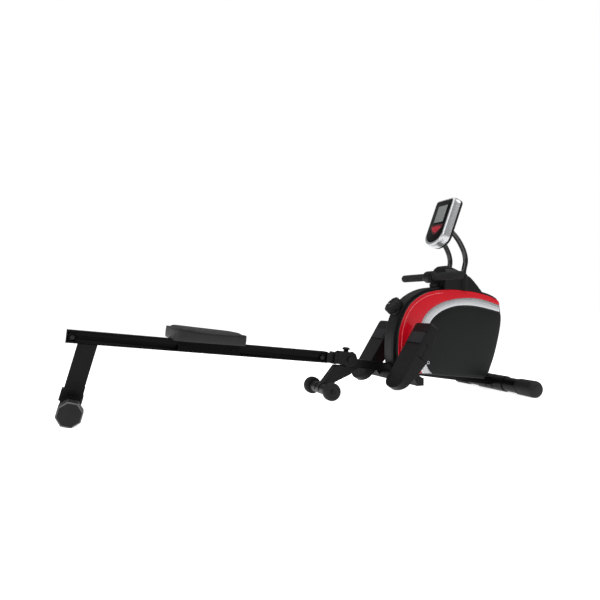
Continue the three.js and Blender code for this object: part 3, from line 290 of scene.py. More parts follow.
studio = {
    "floor": 14.0,
    "world": 0.3,
    "lights": {
        "keyLight": {"place": (-1.6, -2.4, 2.6), "aim": (0.1, 0, 0.3), "size": 2.6, "power": 46},
        "rimLight": {"place": (2.2, -1.2, 1.9), "aim": (0.5, 0, 0.3), "size": 1.2, "power": 24},
        "topLight": {"place": (0.3, 0.2, 3.2), "aim": (0.3, 0, 0), "size": 3.4, "power": 62},
        "sideLight": {"place": (-3.2, 0.6, 1.2), "aim": (0.3, 0, 0.35), "size": 1.4, "power": 26},
    },
}
floorMesh = bpy.data.meshes.new("floor")
half = studio["floor"]
floorMesh.from_pydata([(-half, -half, 0), (half, -half, 0), (half, half, 0), (-half, half, 0)], [],
    [(0, 1, 2, 3)])
floorMesh.materials.append(floorFinish.material)
floor = bpy.data.objects.new("floor", floorMesh)
bpy.context.scene.collection.objects.link(floor)
for name, light in studio["lights"].items():
    lamp = bpy.data.lights.new(name, "AREA")
    lamp.energy, lamp.size = light["power"], light["size"]
    lampObject = bpy.data.objects.new(name, lamp)
    lampObject.location = light["place"]
    lampObject.rotation_euler = (Vector(light["aim"]) - Vector(light["place"])).to_track_quat("-Z",
        "Y").to_euler()
    bpy.context.scene.collection.objects.link(lampObject)
world = bpy.data.worlds.new("studio")
world.use_nodes = True
background = world.node_tree.nodes["Background"]
background.inputs["Color"].default_value = (1, 1, 1, 1)
bright = world.node_tree.nodes.new("ShaderNodeBackground")
bright.inputs["Strength"].default_value = 1.0
background.inputs["Strength"].default_value = studio["world"]
bright.inputs["Color"].default_value = (1, 1, 1, 1)
seen = world.node_tree.nodes.new("ShaderNodeLightPath")
choice = world.node_tree.nodes.new("ShaderNodeMixShader")
output = world.node_tree.nodes["World Output"]
world.node_tree.links.new(seen.outputs["Is Camera Ray"], choice.inputs[0])
world.node_tree.links.new(background.outputs[0], choice.inputs[1])
world.node_tree.links.new(bright.outputs[0], choice.inputs[2])
world.node_tree.links.new(choice.outputs[0], output.inputs[0])
bpy.context.scene.world = world
print("finishes and studio made")


# Mesh helpers
def linked(name, mesh):
    piece = bpy.data.objects.new(name, mesh)
    bpy.context.scene.collection.objects.link(piece)
    return piece


def meshOf(bm, name):
    bmesh.ops.recalc_face_normals(bm, faces=bm.faces)
    mesh = bpy.data.meshes.new(name)
    bm.to_mesh(mesh)
    bm.free()
    return mesh


def settle(piece):
    # Modifiers become plain mesh
    bpy.context.view_layer.update()
    graph = bpy.context.evaluated_depsgraph_get()
    final = bpy.data.meshes.new_from_object(piece.evaluated_get(graph), preserve_all_data_layers=True,
        depsgraph=graph)
    piece.modifiers.clear()
    piece.data = final
    return piece


def shadeByAngle(piece, degrees=32):
    piece.data.shade_smooth()
    piece.data.set_sharp_from_angle(angle=math.radians(degrees))
    return piece


def dress(piece, body, slot, nodes=(), finish=None):
    piece.data.materials.clear()
    piece.data.materials.append(finish or finishes[slot])
    piece.data.polygons.foreach_set("material_index", [0] * len(piece.data.polygons))
    if nodes:
        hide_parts(*nodes)
    if body:
        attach(piece, body)
    return piece


def roundEdges(piece, width, segments=2, angle=30):
    bevel = piece.modifiers.new("bevel", "BEVEL")
    bevel.width = width
    bevel.segments = segments
    bevel.limit_method = "ANGLE"
    bevel.angle_limit = math.radians(angle)
    bevel.use_clamp_overlap = True
    weigh = piece.modifiers.new("weigh", "WEIGHTED_NORMAL")
    weigh.keep_sharp = True
    return settle(shadeByAngle(piece, 40))


# A CAD node as one mesh, with faces joined that meet flatter than an angle
def copied(node, ending, flatter=0):
    bm = bmesh.new()
    bm.from_mesh(frame["nodes"][node].data)
    bmesh.ops.remove_doubles(bm, verts=bm.verts, dist=2e-5)
    if flatter:
        bmesh.ops.dissolve_limit(bm, angle_limit=math.radians(flatter), verts=bm.verts, edges=bm.edges)
    mesh = bpy.data.meshes.new(node + ending)
    bm.to_mesh(mesh)
    bm.free()
    return linked(node + ending, mesh)


# A CAD node with its edges rounded
def softened(node, width, segments=2, slot=None, finish=None):
    piece = roundEdges(copied(node, "_soft", 0.6), width, segments)
    return dress(piece, bodyOf[node], slot or slotOf[node], [node], finish)


# Rings of points joined into a skin, closed at its ends unless it runs round; "run" holds metres along and across
def loft(name, rings, around=True, endless=False, smoothAngle=32):
    bm = bmesh.new()
    layer = bm.loops.layers.uv.new("run")
    verts = [[bm.verts.new(point) for point in ring] for ring in rings]
    count = len(rings[0])
    lengths = [0.0]
    for k in range(1, len(rings) + 1):
        lengths.append(lengths[-1] + (Vector(rings[k % len(rings)][0]) - Vector(rings[k - 1][0])).length)
    across = [0.0]
    for i in range(count):
        across.append(across[-1] + (Vector(rings[0][(i + 1) % count]) - Vector(rings[0][i])).length)
    for k in range(len(rings) if endless else len(rings) - 1):
        ahead = verts[(k + 1) % len(rings)]
        for i in range(count if around else count - 1):
            j = (i + 1) % count
            face = bm.faces.new((verts[k][i], verts[k][j], ahead[j], ahead[i]))
            corners = ((k, i), (k, i + 1), (k + 1, i + 1), (k + 1, i))
            for loop, (row, column) in zip(face.loops, corners):
                loop[layer].uv = (lengths[row], across[column])
    if around and not endless:
        for ring in (verts[0], verts[-1]):
            face = bm.faces.new(ring)
            for loop in face.loops:
                loop[layer].uv = (loop.vert.co.y, loop.vert.co.z)
    bmesh.ops.remove_doubles(bm, verts=bm.verts, dist=1e-6)
    piece = linked(name, meshOf(bm, name))
    return shadeByAngle(piece, smoothAngle)


# A profile of (radius, along) turned about an axis
def turned(name, profile, place, steps=72, smoothAngle=32):
    bm = bmesh.new()
    rings = []
    for radius, along in profile:
        if radius < 1e-6:
            rings.append([bm.verts.new((0, 0, along * mm))])
            continue
        angles = [2 * math.pi * i / steps for i in range(steps)]
        rings.append([bm.verts.new((radius * mm * math.cos(a), radius * mm * math.sin(a), along * mm))
            for a in angles])
    for low, high in zip(rings, rings[1:] + ([rings[0]] if len(rings[0]) > 1 and len(rings[-1]) > 1 else [])):
        for i in range(steps):
            j = (i + 1) % steps
            corners = [low[i % len(low)], low[j % len(low)], high[j % len(high)], high[i % len(high)]]
            unique = list(dict.fromkeys(corners))
            if len(unique) > 2:
                bm.faces.new(unique)
    bmesh.ops.transform(bm, matrix=place, verts=bm.verts)
    return shadeByAngle(linked(name, meshOf(bm, name)), smoothAngle)


def alongY(x, z):
    return Matrix.Translation((x, 0, z)) @ Matrix.Rotation(-math.pi / 2, 4, "X")


def carve(piece, cutter, operation="DIFFERENCE"):
    step = piece.modifiers.new("carve", "BOOLEAN")
    step.operation = operation
    step.solver = "EXACT"
    step.object = cutter
    settle(piece)
    spent = cutter.data
    bpy.data.objects.remove(cutter)
    bpy.data.meshes.remove(spent)
    return piece


def box(name, low, high):
    bm = bmesh.new()
    bmesh.ops.create_cube(bm, size=1)
    for vert in bm.verts:
        vert.co = Vector([low[i] + (vert.co[i] + 0.5) * (high[i] - low[i]) for i in range(3)])
    return linked(name, meshOf(bm, name))


def arcPoints(x, z, radius, start, end, steps, rise=None):
    angles = [start + (end - start) * i / steps for i in range(steps + 1)]
    return [Vector((x + radius * math.cos(a), z + (rise or radius) * math.sin(a))) for a in angles]


# A smooth run through points, and the same run moved sideways: to its left for a positive distance
def through(points, steps):
    run = []
    last = len(points) - 1
    for i in range(steps + 1):
        at = last * i / steps
        k = min(int(at), last)
        t = at - k
        p0, p1, p2, p3 = (Vector(points[min(max(k + d, 0), last)]) for d in (-1, 0, 1, 2))
        v0, v1 = (p2 - p0) * 0.5, (p3 - p1) * 0.5
        run.append((2 * p1 - 2 * p2 + v0 + v1) * t**3 + (-3 * p1 + 3 * p2 - 2 * v0 - v1) * t * t + v0 * t + p1)
    return run


def evenly(run, count, closed=False):
    points = [Vector(p) for p in run] + ([Vector(run[0])] if closed else [])
    reach = [0.0]
    for a, b in zip(points, points[1:]):
        reach.append(reach[-1] + (b - a).length)
    result, k = [], 0
    for i in range(count):
        at = reach[-1] * i / (count if closed else count - 1)
        while k < len(points) - 2 and reach[k + 1] < at:
            k += 1
        span = max(reach[k + 1] - reach[k], 1e-9)
        result.append(points[k].lerp(points[k + 1], min((at - reach[k]) / span, 1)))
    return result


def beside(run, distance, closed=False):
    moved = []
    for i, point in enumerate(run):
        before = run[i - 1] if i or closed else run[0]
        after = run[(i + 1) % len(run)] if closed else run[min(i + 1, len(run) - 1)]
        ahead = (after - before).normalized()
        moved.append(Vector((point.x - ahead.y * distance, point.y + ahead.x * distance)))
    return moved


def inDrive(point, y):
    return Vector((driveForward + point[0] * mm, y * mm, point[1] * mm))


# Fixings: one tree puts a headed screw or bolt at each point
fixingInputs = {"Head Radius": 0.004, "Head Height": 0.002, "Sides": 20, "Direction": (0.0, 0.0, 1.0),
    "Finish": None}
socketKinds = {float: "NodeSocketFloat", int: "NodeSocketInt", tuple: "NodeSocketVector",
    type(None): "NodeSocketMaterial"}


class Tree:
    def __init__(self, name, inputs):
        self.tree = bpy.data.node_groups.new(name, "GeometryNodeTree")
        self.tree.interface.new_socket(name="Geometry", in_out="INPUT", socket_type="NodeSocketGeometry")
        self.ids = {}
        for label, value in inputs.items():
            socket = self.tree.interface.new_socket(name=label, in_out="INPUT",
                socket_type=socketKinds[type(value)])
            if value is not None:
                socket.default_value = value
            self.ids[label] = socket.identifier
        self.tree.interface.new_socket(name="Geometry", in_out="OUTPUT", socket_type="NodeSocketGeometry")
        self.start = self.tree.nodes.new("NodeGroupInput")
        self.end = self.tree.nodes.new("NodeGroupOutput")

    def given(self, label):
        return self.start.outputs[label]

    def node(self, kind, settings=None, sockets=None):
        made = self.tree.nodes.new(kind)
        for name, value in (settings or {}).items():
            setattr(made, name, value)
        for key, value in (sockets or {}).items():
            for link in value if isinstance(value, list) else [value]:
                if isinstance(link, bpy.types.NodeSocket):
                    self.tree.links.new(link, made.inputs[key])
                else:
                    made.inputs[key].default_value = link
        return made.outputs[0]

    def finishWith(self, geometry):
        real = self.node("GeometryNodeRealizeInstances", None, {"Geometry": geometry})
        painted = self.node("GeometryNodeSetMaterial", None,
            {"Geometry": real, "Material": self.given("Finish")})
        self.tree.links.new(painted, self.end.inputs[0])
        return self

    # The tree run once on a mesh, as a plain mesh
    def run(self, name, mesh, values):
        piece = linked(name, mesh)
        maker = piece.modifiers.new("maker", "NODES")
        maker.node_group = self.tree
        for label, value in values.items():
            maker[self.ids[label]] = value
        return settle(piece)


def fixingTree():
    tree = Tree("fixings", fixingInputs)
    radius, height = tree.given("Head Radius"), tree.given("Head Height")
    rim = tree.node("GeometryNodeMeshCone", None, {"Vertices": tree.given("Sides"), "Radius Top": radius,
        "Radius Bottom": radius, "Depth": height})
    inner = tree.node("ShaderNodeMath", {"operation": "MULTIPLY"}, {0: radius, 1: 0.62})
    low = tree.node("ShaderNodeMath", {"operation": "MULTIPLY"}, {0: height, 1: 0.5})
    crown = tree.node("GeometryNodeMeshCone", None, {"Vertices": tree.given("Sides"), "Radius Top": inner,
        "Radius Bottom": radius, "Depth": low})
    lift = tree.node("ShaderNodeCombineXYZ", None, {"Z": height})
    raised = tree.node("GeometryNodeTransform", None, {"Geometry": crown, "Translation": lift})
    head = tree.node("GeometryNodeJoinGeometry", None, {"Geometry": [rim, raised]})
    turn = tree.node("FunctionNodeAlignRotationToVector", {"axis": "Z"}, {"Vector": tree.given("Direction")})
    points = tree.node("GeometryNodeMeshToPoints", None, {"Mesh": tree.given("Geometry")})
    placed = tree.node("GeometryNodeInstanceOnPoints", None,
        {"Points": points, "Instance": head, "Rotation": turn})
    return tree.finishWith(placed)


fixings = fixingTree()


def addFixings(name, points, direction, radius, height, sides, body, slot="black_plastic"):
    mesh = bpy.data.meshes.new(name)
    mesh.from_pydata([tuple(p) for p in points], [], [])
    values = {"Head Radius": radius * mm, "Head Height": height * mm, "Sides": sides,
        "Direction": tuple(direction), "Finish": finishes[slot]}
    return dress(shadeByAngle(fixings.run(name, mesh, values), 30), body, slot)


# Ribs: one tree lays bars side by side along X
ribInputs = {"Count": 8, "Spacing": 0.01, "Length": 0.05, "Width": 0.003, "Height": 0.001, "Finish": None}


def ribTree():
    tree = Tree("ribs", ribInputs)
    step = tree.node("ShaderNodeCombineXYZ", None, {"X": tree.given("Spacing")})
    line = tree.node("GeometryNodeMeshLine", {"mode": "OFFSET"}, {"Count": tree.given("Count"), "Offset": step})
    size = tree.node("ShaderNodeCombineXYZ", None, {"X": tree.given("Width"), "Y": tree.given("Length"),
        "Z": tree.given("Height")})
    bar = tree.node("GeometryNodeMeshCube", None, {"Size": size, "Vertices X": 3, "Vertices Y": 5,
        "Vertices Z": 2})
    points = tree.node("GeometryNodeMeshToPoints", None, {"Mesh": line})
    placed = tree.node("GeometryNodeInstanceOnPoints", None, {"Points": points, "Instance": bar})
    return tree.finishWith(placed)


ribs = ribTree()


def addRibs(name, place, values, body, slot, edge=0.0006):
    mesh = bpy.data.meshes.new(name)
    mesh.from_pydata([(0, 0, 0)], [], [])
    piece = ribs.run(name, mesh, {**values, "Finish": finishes[slot]})
    piece.data.transform(place)
    return dress(roundEdges(piece, edge, 2), body, slot)


# Weld beads: drops along a seam, a little uneven
weldInputs = {"Drop Radius": 0.0022, "Seed": 7, "Finish": None}


def weldTree():
    tree = Tree("weld", weldInputs)
    drop = tree.node("GeometryNodeMeshIcoSphere", None,
        {"Radius": tree.given("Drop Radius"), "Subdivisions": 2})
    spread = tree.node("FunctionNodeRandomValue", {"data_type": "FLOAT"},
        {2: 0.8, 3: 1.15, "Seed": tree.given("Seed")})
    points = tree.node("GeometryNodeMeshToPoints", None, {"Mesh": tree.given("Geometry")})
    placed = tree.node("GeometryNodeInstanceOnPoints", None,
        {"Points": points, "Instance": drop, "Scale": spread})
    return tree.finishWith(placed)


weld = weldTree()


def addWeld(name, path, body, radius=2.2, closed=True):
    run = [Vector(p) for p in path]
    length = sum((b - a).length for a, b in zip(run, run[1:]))
    mesh = bpy.data.meshes.new(name)
    mesh.from_pydata([tuple(p) for p in evenly(run, max(int(length / (1.3 * radius * mm)), 4), closed)], [], [])
    values = {"Drop Radius": radius * mm, "Seed": 11, "Finish": finishes["frame_paint"]}
    piece = weld.run(name, mesh, values)
    return dress(shadeByAngle(piece, 80), body, "frame_paint")


# Tubes that follow a path
def tube(name, path, radius, sides=28, caps=True):
    rings = []
    for i, point in enumerate(path):
        ahead = (path[min(i + 1, len(path) - 1)] - path[max(i - 1, 0)]).normalized()
        across = Vector((0, 1, 0)) if abs(ahead.y) < 0.9 else Vector((1, 0, 0))
        first = across.cross(ahead).normalized()
        second = ahead.cross(first).normalized()
        angles = [2 * math.pi * k / sides for k in range(sides)]
        rings.append([point + (first * math.cos(a) + second * math.sin(a)) * radius for a in angles])
    return loft(name, rings, True, False, 50)


# Shroud
shroud = {
    "steps": 150,
    "back": [(14, 105), (3, 140), (0, 205), (10, 295), (55, 384), (140, 437), (252, 451), (375, 442),
        (463, 423), (506, 405)],
    "corner": (517, 392),
    "front": [(522, 354), (526, 322), (518, 265), (491, 165), (456, 78)],
    "foot": (434, 59),
    "edge": [(38.3, 0), (50, 0), (53.4, 0.8), (55.2, 2.4), (56, 5.0)],
    "crown": [(0.985, 57.6), (0.95, 58.6), (0.82, 59.5), (0.6, 60.2), (0.35, 60.6), (0.1, 60.7)],
}
backRun = through(shroud["back"], shroud["steps"])
frontRun = through(shroud["front"], 60)
shroudLoop = backRun + [Vector(shroud["corner"])] + frontRun + [Vector(shroud["foot"])]
silver = {
    "inner": [(163, 94), (140, 125), (124, 190), (149, 299), (200, 351), (275, 378), (352, 382), (428, 372),
        (513, 353)],
    "outer": [(115, 97), (96, 140), (90, 200), (110, 304), (150, 360), (225, 398), (326, 414), (415, 409),
        (512, 383)],
    "profile": [(0, 0, 56.3), (0, 0, 57.4), (0, 0.9, 58.4), (0.24, 0, 59.2), (0.27, 0, 57.9), (0.36, 0, 57.9),
        (0.39, 0, 59.3), (0.8, 0, 59.2), (1, -0.9, 58.4), (1, 0, 57.4), (1, 0, 56.3)],
}
cover = {
    "profile": [(0, 0, 56.3), (0, 0, 57.4), (0, 0.9, 58.3), (0, 13.5, 59.1), (0, 14.6, 60.0), (0, 16.5, 60.2),
        (1, -1.6, 60.0), (1, -0.4, 59.2), (1, 0, 58.2), (1, 0, 56.3)],
}


# A band between two runs; its section is given as (share across, millimetres on from there, y)
def ribbon(name, outer, inner, profile, side, count=150):
    outerRun, innerRun = evenly(outer, count), evenly(inner, count)
    rings = []
    for start, end in zip(outerRun, innerRun):
        width = (end - start).length
        ring = []
        for share, onward, y in profile:
            at = min(max(share * width + onward, 0), width) if share in (0, 1) else share * width
            if share == 0:
                at = min(at, width * 0.62)
            point = start.lerp(end, at / width)
            ring.append(inDrive(point, side * y))
        rings.append(ring)
    return loft(name, rings)


silverInner, silverOuter = through(silver["inner"], 120), through(silver["outer"], 120)
highlightBead = {"inside": 14.5, "out": 59.6, "radius": 1.9, "from": 14, "to": 96}
redOuter = beside(backRun, -1.5) + [Vector((512, 397))]
redInner = beside(silverOuter, 0.3)
for side, word in ((1, "left"), (-1, "right")):
    rings = []
    for y, inset in shroud["edge"]:
        loop = beside(shroudLoop, -inset, True) if inset else shroudLoop
        rings.append([inDrive(p, side * y) for p in loop])
    panel = loft("shroud_panel_" + word, rings)
    dress(panel, "frame", "panel_plastic", ["shroud_" + word])
    # Raised field inside the silver band
    field = beside(silverInner, -1.0) + beside(frontRun, -3.0)[4:] + [Vector((438, 66))]
    field = evenly(field, 220, True)
    middle = sum(field, Vector((0, 0))) / len(field)
    rings = [[inDrive(p, side * 55.5) for p in field], [inDrive(p, side * 56.6) for p in field]]
    for share, y in shroud["crown"]:
        rings.append([inDrive(middle.lerp(p, share), side * y) for p in field])
    dress(loft("shroud_field_" + word, rings, smoothAngle=50), "frame", "panel_plastic")
    dress(ribbon("red_band_" + word, redOuter, redInner, cover["profile"], side), "frame", "red_gloss",
        ["red_cover_" + word])
    # Painted highlight: a thin bead in lighter red along the red cover's crease, where its highlight falls
    highlightBeadRun = beside(backRun, -highlightBead["inside"])[highlightBead["from"]:highlightBead["to"]]
    highlightBeadPath = [inDrive(p, side * highlightBead["out"]) for p in evenly(highlightBeadRun, 120)]
    dress(tube("red_highlightBead_" + word, highlightBeadPath, highlightBead["radius"] * mm, 14), "frame", "red_gloss", finish=highlightBeadRed)
    dress(ribbon("silver_band_" + word, silverOuter, silverInner, silver["profile"], side), "frame",
        "silver_gloss", ["silver_trim_" + word])
    screwSpots = [(452, 110), (492, 210), (505, 300)]
    addFixings("shroud_screws_" + word, [inDrive(p, side * 57.4) for p in screwSpots], (0, side, 0), 4.2, 1.6,
        22, "frame")
    ringPlace = Matrix.Translation(inDrive((145, 141), side * 58.2)) @ Matrix.Rotation(-side * math.pi / 2, 4,
        "X")
    ring = turned("shroud_ring_" + word, [(3.4, 0), (6.4, 0), (6.6, 1.2), (5.9, 2.0), (4.2, 2.0), (3.4, 0.8)],
        ringPlace, 40)
    dress(ring, "frame", "bright_steel")
print("shroud made")

rim = {
    "section": [(-6, 38), (8.6, 38), (10.6, 37.3), (11.6, 35.8), (12, 33.5), (12, 25), (11.2, 24.4),
        (11.2, 23.4), (12, 22.8)],
    "inside": 2.6,
}
rimRun = evenly(backRun[16:] + [Vector(shroud["corner"])] + frontRun, 170)
outer = rim["section"]
section = outer + [(n, -y) for n, y in reversed(outer)]
section += [(-6, -38 + rim["inside"]), (9.2, -38 + rim["inside"]), (9.2, 38 - rim["inside"]),
    (-6, 38 - rim["inside"])]
sides = {n: beside(rimRun, n) for n, y in section}
rimRings = [[inDrive(sides[n][i], y) for n, y in section] for i in range(len(rimRun))]
rimPiece = loft("rim_band", rimRings)
wellCut = box("wellCut", inDrive((242, 380), -18), inDrive((276, 516), 18))
carve(rimPiece, wellCut)
beam = {"pivotUp": 163.8, "drop": 13.3, "footRise": 3, "half": 17.7, "room": 1}


def beamTop(x):
    rear = beam["pivotUp"] - beam["drop"]
    fall = (rear - layout["frontRadius"] - beam["footRise"]) / layout["frontFoot"]
    return rear - fall * (layout["shroud"] + x) + beam["half"] + beam["room"]


bm = bmesh.new()
corners = [(-14, beamTop(-14)), (480, beamTop(480)), (480, 0), (-14, 0)]
low, high = ([bm.verts.new(inDrive(p, y)) for p in corners] for y in (-21, 21))
bm.faces.new(low), bm.faces.new(high)
for i in range(4):
    bm.faces.new((low[i], low[(i + 1) % 4], high[(i + 1) % 4], high[i]))
carve(rimPiece, linked("beamCut", meshOf(bm, "beamCut")))
dress(shadeByAngle(rimPiece), "frame", "black_plastic", ["shroud_rim"])

# Tension knob and its collar
knobPlace = drivePlace @ Matrix.Translation((11 * mm, 0, 381 * mm)) @ Matrix.Rotation(math.radians(-49), 4, "Y")
knob = {"radius": 38, "flutes": 10, "depth": 2.6, "steps": 200}
bm = bmesh.new()
knobProfile = [(0.0, -15), (0.9, -15), (0.97, -14.2), (1.0, -12), (1.0, 8), (0.985, 11.5), (0.94, 14),
    (0.86, 15), (0.7, 15.2), (0.66, 14.2), (0.3, 14.2), (0.0, 14.4)]
rings = []
for share, z in knobProfile:
    ring = []
    for i in range(knob["steps"] if share else 1):
        angle = 2 * math.pi * i / knob["steps"]
        dip = max(math.cos(angle * knob["flutes"] + math.pi), 0) ** 3 * knob["depth"] if share > 0.8 else 0
        radius = (knob["radius"] * share - dip) * mm
        ring.append(bm.verts.new((radius * math.cos(angle), radius * math.sin(angle), z * mm)))
    rings.append(ring)
for lower, upper in zip(rings, rings[1:]):
    for i in range(knob["steps"]):
        j = (i + 1) % knob["steps"]
        ring = [lower[i % len(lower)], lower[j % len(lower)], upper[j % len(upper)], upper[i % len(upper)]]
        bm.faces.new(list(dict.fromkeys(ring)))
bmesh.ops.transform(bm, matrix=knobPlace, verts=bm.verts)
dress(shadeByAngle(linked("knob_turning", meshOf(bm, "knob_turning")), 38), "tension_knob", "black_plastic",
    ["tension_knob"])
shaft = turned("knob_shaft", [(0, -49), (5, -49), (5, -15), (0, -15)], knobPlace, 40)
dress(shaft, "tension_knob", "bright_steel")
collar = turned("knob_collar", [(12, -60), (26, -60), (26, -19), (24.5, -16.5), (12, -15.6), (5.4, -15.6),
    (5.4, -60)], knobPlace, 80)
dress(collar, "frame", "black_plastic")
pointer = box("knob_pointer", (-0.0012, 0.012, 0.0140), (0.0012, 0.031, 0.0152))
pointer.data.transform(knobPlace)
dress(roundEdges(pointer, 0.0003), "tension_knob", "silver_gloss")
print("rim and knob made")


# Dome over the strap's mouth
def smoothedCopy(node, voxel, turns):
    piece = copied(node, "_smooth")
    remesh = piece.modifiers.new("remesh", "REMESH")
    remesh.mode = "VOXEL"
    remesh.voxel_size = voxel
    relax = piece.modifiers.new("relax", "SMOOTH")
    relax.factor = 0.5
    relax.iterations = turns
    settle(piece)
    piece.data.shade_smooth()
    return dress(piece, bodyOf[node], slotOf[node], [node])


smoothedCopy("top_cover", 0.0017, 7)

consoleTube = {
    "radius": 11, "apart": 56,
    "path": [(326, 470.3), (326, 500), (326, 530), (335, 571), (331, 603), (318, 633), (300, 661), (282, 682),
        (266, 696)],
}
for side, word in ((1, "left"), (-1, "right")):
    path = [inDrive(p, side * consoleTube["apart"]) for p in evenly(through(consoleTube["path"], 90), 56)]
    dress(tube("console_post_" + word, path, consoleTube["radius"] * mm), "frame", "frame_paint",
        ["console_tube_" + word], tubeGloss)
    footCollar = [(11.2, 0), (15.5, 0), (15.5, 3), (13.6, 6), (11.2, 7)]
    base = inDrive((326, 511), side * consoleTube["apart"])
    dress(turned("post_collar_" + word, footCollar, Matrix.Translation(base), 56), "frame", "black_plastic")

# Console
consolePlace = drivePlace @ Matrix.Translation((267 * mm, 0, 836 * mm)) @ Matrix.Rotation(math.radians(21), 4,
    "Y")
console = {
    "half": 70, "top": 18, "bottom": -206, "chin": 50, "corner": 20,
    "shell": [(3, 38), (1.2, 37.6), (0.4, 35.8), (0, 31), (0, 20), (0.5, 13), (1.7, 7.6), (3.9, 3.6),
        (6.6, 1.2), (9.4, 0.2)],
    "bezel": [(0.0, 0.6), (0.2, 9), (3, 9), (3, 37)],
    "back": [(4, 38.0), (1.4, 38.3), (0.8, 40), (0.9, 43), (2.2, 47), (5, 50.4), (9, 52.3), (15, 53)],
}


def consoleLoop(inset, count=120, face=False):
    half = console["half"] - inset - (10 if face else 0)
    top = console["top"] - inset - (10 if face else 0)
    corner = max((8 if face else console["corner"]) - inset / 4, 2)
    low = console["bottom"] + console["chin"] + (12 if face else 0)
    chin = console["chin"] - inset - (2 if face else 0)
    points = arcPoints(half - corner, top - corner, corner, 0, math.pi / 2, 12)
    points += arcPoints(corner - half, top - corner, corner, math.pi / 2, math.pi, 12)
    points += arcPoints(0, low, half, math.pi, 2 * math.pi, 48, chin)
    return evenly(points, count, True)


def onConsole(point, depth):
    return consolePlace @ Vector((depth * mm, point[0] * mm, point[1] * mm))


consoleOutline = consoleLoop(0, 160)


def consoleInset(inset):
    return beside(consoleOutline, inset, True)


rings = [[onConsole(p, u) for p in consoleInset(inset)] for inset, u in console["shell"]]
rings += [[onConsole(p, u) for p in consoleLoop(inset, 160, face=True)] for inset, u in console["bezel"]]
dress(loft("console_shell", rings, endless=True, smoothAngle=50), "frame", "silver_gloss", ["console_frame"])
faceRings = [[onConsole(p, u) for p in consoleLoop(i, face=True)] for i,
    u in ((0.3, 9), (0.3, 2.4), (0.7, 1.8), (1.6, 1.5))]
dress(loft("console_panel", faceRings), "frame", "black_plastic", ["console_face"], glossBlack)
backRings = [[onConsole(p, u) for p in consoleInset(i)] for i, u in console["back"]]
dress(loft("console_rear", backRings), "frame", "black_plastic", ["console_back"])
backSpots = [(-42, -16), (42, -16), (-36, -160), (36, -160)]
outward = (consolePlace.to_3x3() @ Vector((1, 0, 0))).normalized()
addFixings("console_screws", [onConsole(p, 53) for p in backSpots], outward, 3.4, 1.2, 20, "frame",
    "bright_steel")
ventPlace = consolePlace @ Matrix.Translation((53.4 * mm, 0, -60 * mm)) @ Matrix.Rotation(-math.pi / 2, 4, "Y")
addRibs("console_vents", ventPlace, {"Count": 7, "Spacing": 0.007, "Length": 0.056, "Width": 0.003,
    "Height": 0.0016}, "frame", "black_plastic")


def roundedLoop(halfWide, low, high, corner, steps=10):
    points = []
    centres = ((halfWide - corner, high - corner), (corner - halfWide, high - corner),
        (corner - halfWide, low + corner), (halfWide - corner, low + corner))
    for k, (y, v) in enumerate(centres):
        for i in range(steps + 1):
            a = math.pi / 2 * (k + i / steps)
            points.append(Vector((y + corner * math.cos(a), v + corner * math.sin(a))))
    return points


bezelRings = [[onConsole(p, u) for p in roundedLoop(h, l, t, c)] for h, l, t, c, u in (
    (38, -100, -13, 5, 1.6), (38, -100, -13, 5, 1.0), (37.2, -99.2, -13.8, 4.4, 0.6),
        (34.8, -96.8, -16.2, 3, 0.6), (34.4, -96.4, -16.6, 3, 1.3))]
dress(loft("screen_bezel", bezelRings), "frame", "black_plastic", finish=glossBlack)
glassRings = [[onConsole(p, u) for p in roundedLoop(34.2, -96.2, -16.8, 3)] for u in (1.9, 1.2)]
glass = loft("screen_glass", glassRings)
inverse = consolePlace.inverted()
for loop in glass.data.loops:
    spot = inverse @ glass.data.vertices[loop.vertex_index].co
    glass.data.uv_layers["run"].data[loop.index].uv = (spot.y, spot.z)
dress(glass, "frame", "screen_glass", ["console_screen"])
keyShape = through([(-44, -110), (-20, -107.5), (0, -107), (20, -107.5), (44, -110), (38, -124), (16, -149),
    (0, -154), (-16, -149), (-38, -124), (-44, -110)], 90)[:-1]
capShape = through([(-44, -117), (-20, -114.5), (0, -114), (20, -114.5), (44, -117), (38, -127), (16, -145),
    (0, -149), (-16, -145), (-38, -127), (-44, -117)], 90)[:-1]
key = {
    "middle": (0, -126),
    "well": [(1.0, 2.2), (1.0, 1.2), (0.98, 0.9), (0.84, 0.9)],
    "cap": [(0.8, 2.0), (0.8, 0.2), (0.77, -0.4), (0.72, -0.7), (0.45, -1.0), (0.15, -1.1)],
}


def keyPart(name, part, finish):
    centre = Vector(key["middle"])
    outline = capShape if part == "cap" else keyShape
    rings = [[onConsole(centre.lerp(p, share), u) for p in outline] for share, u in key[part]]
    return dress(loft(name, rings, smoothAngle=40), "console_button", "red_gloss",
        ["console_button"] if part == "cap" else (), finish)


keyPart("console_key", "cap", keyRed)
keyPart("console_key_well", "well", wellRed)
print("console made")

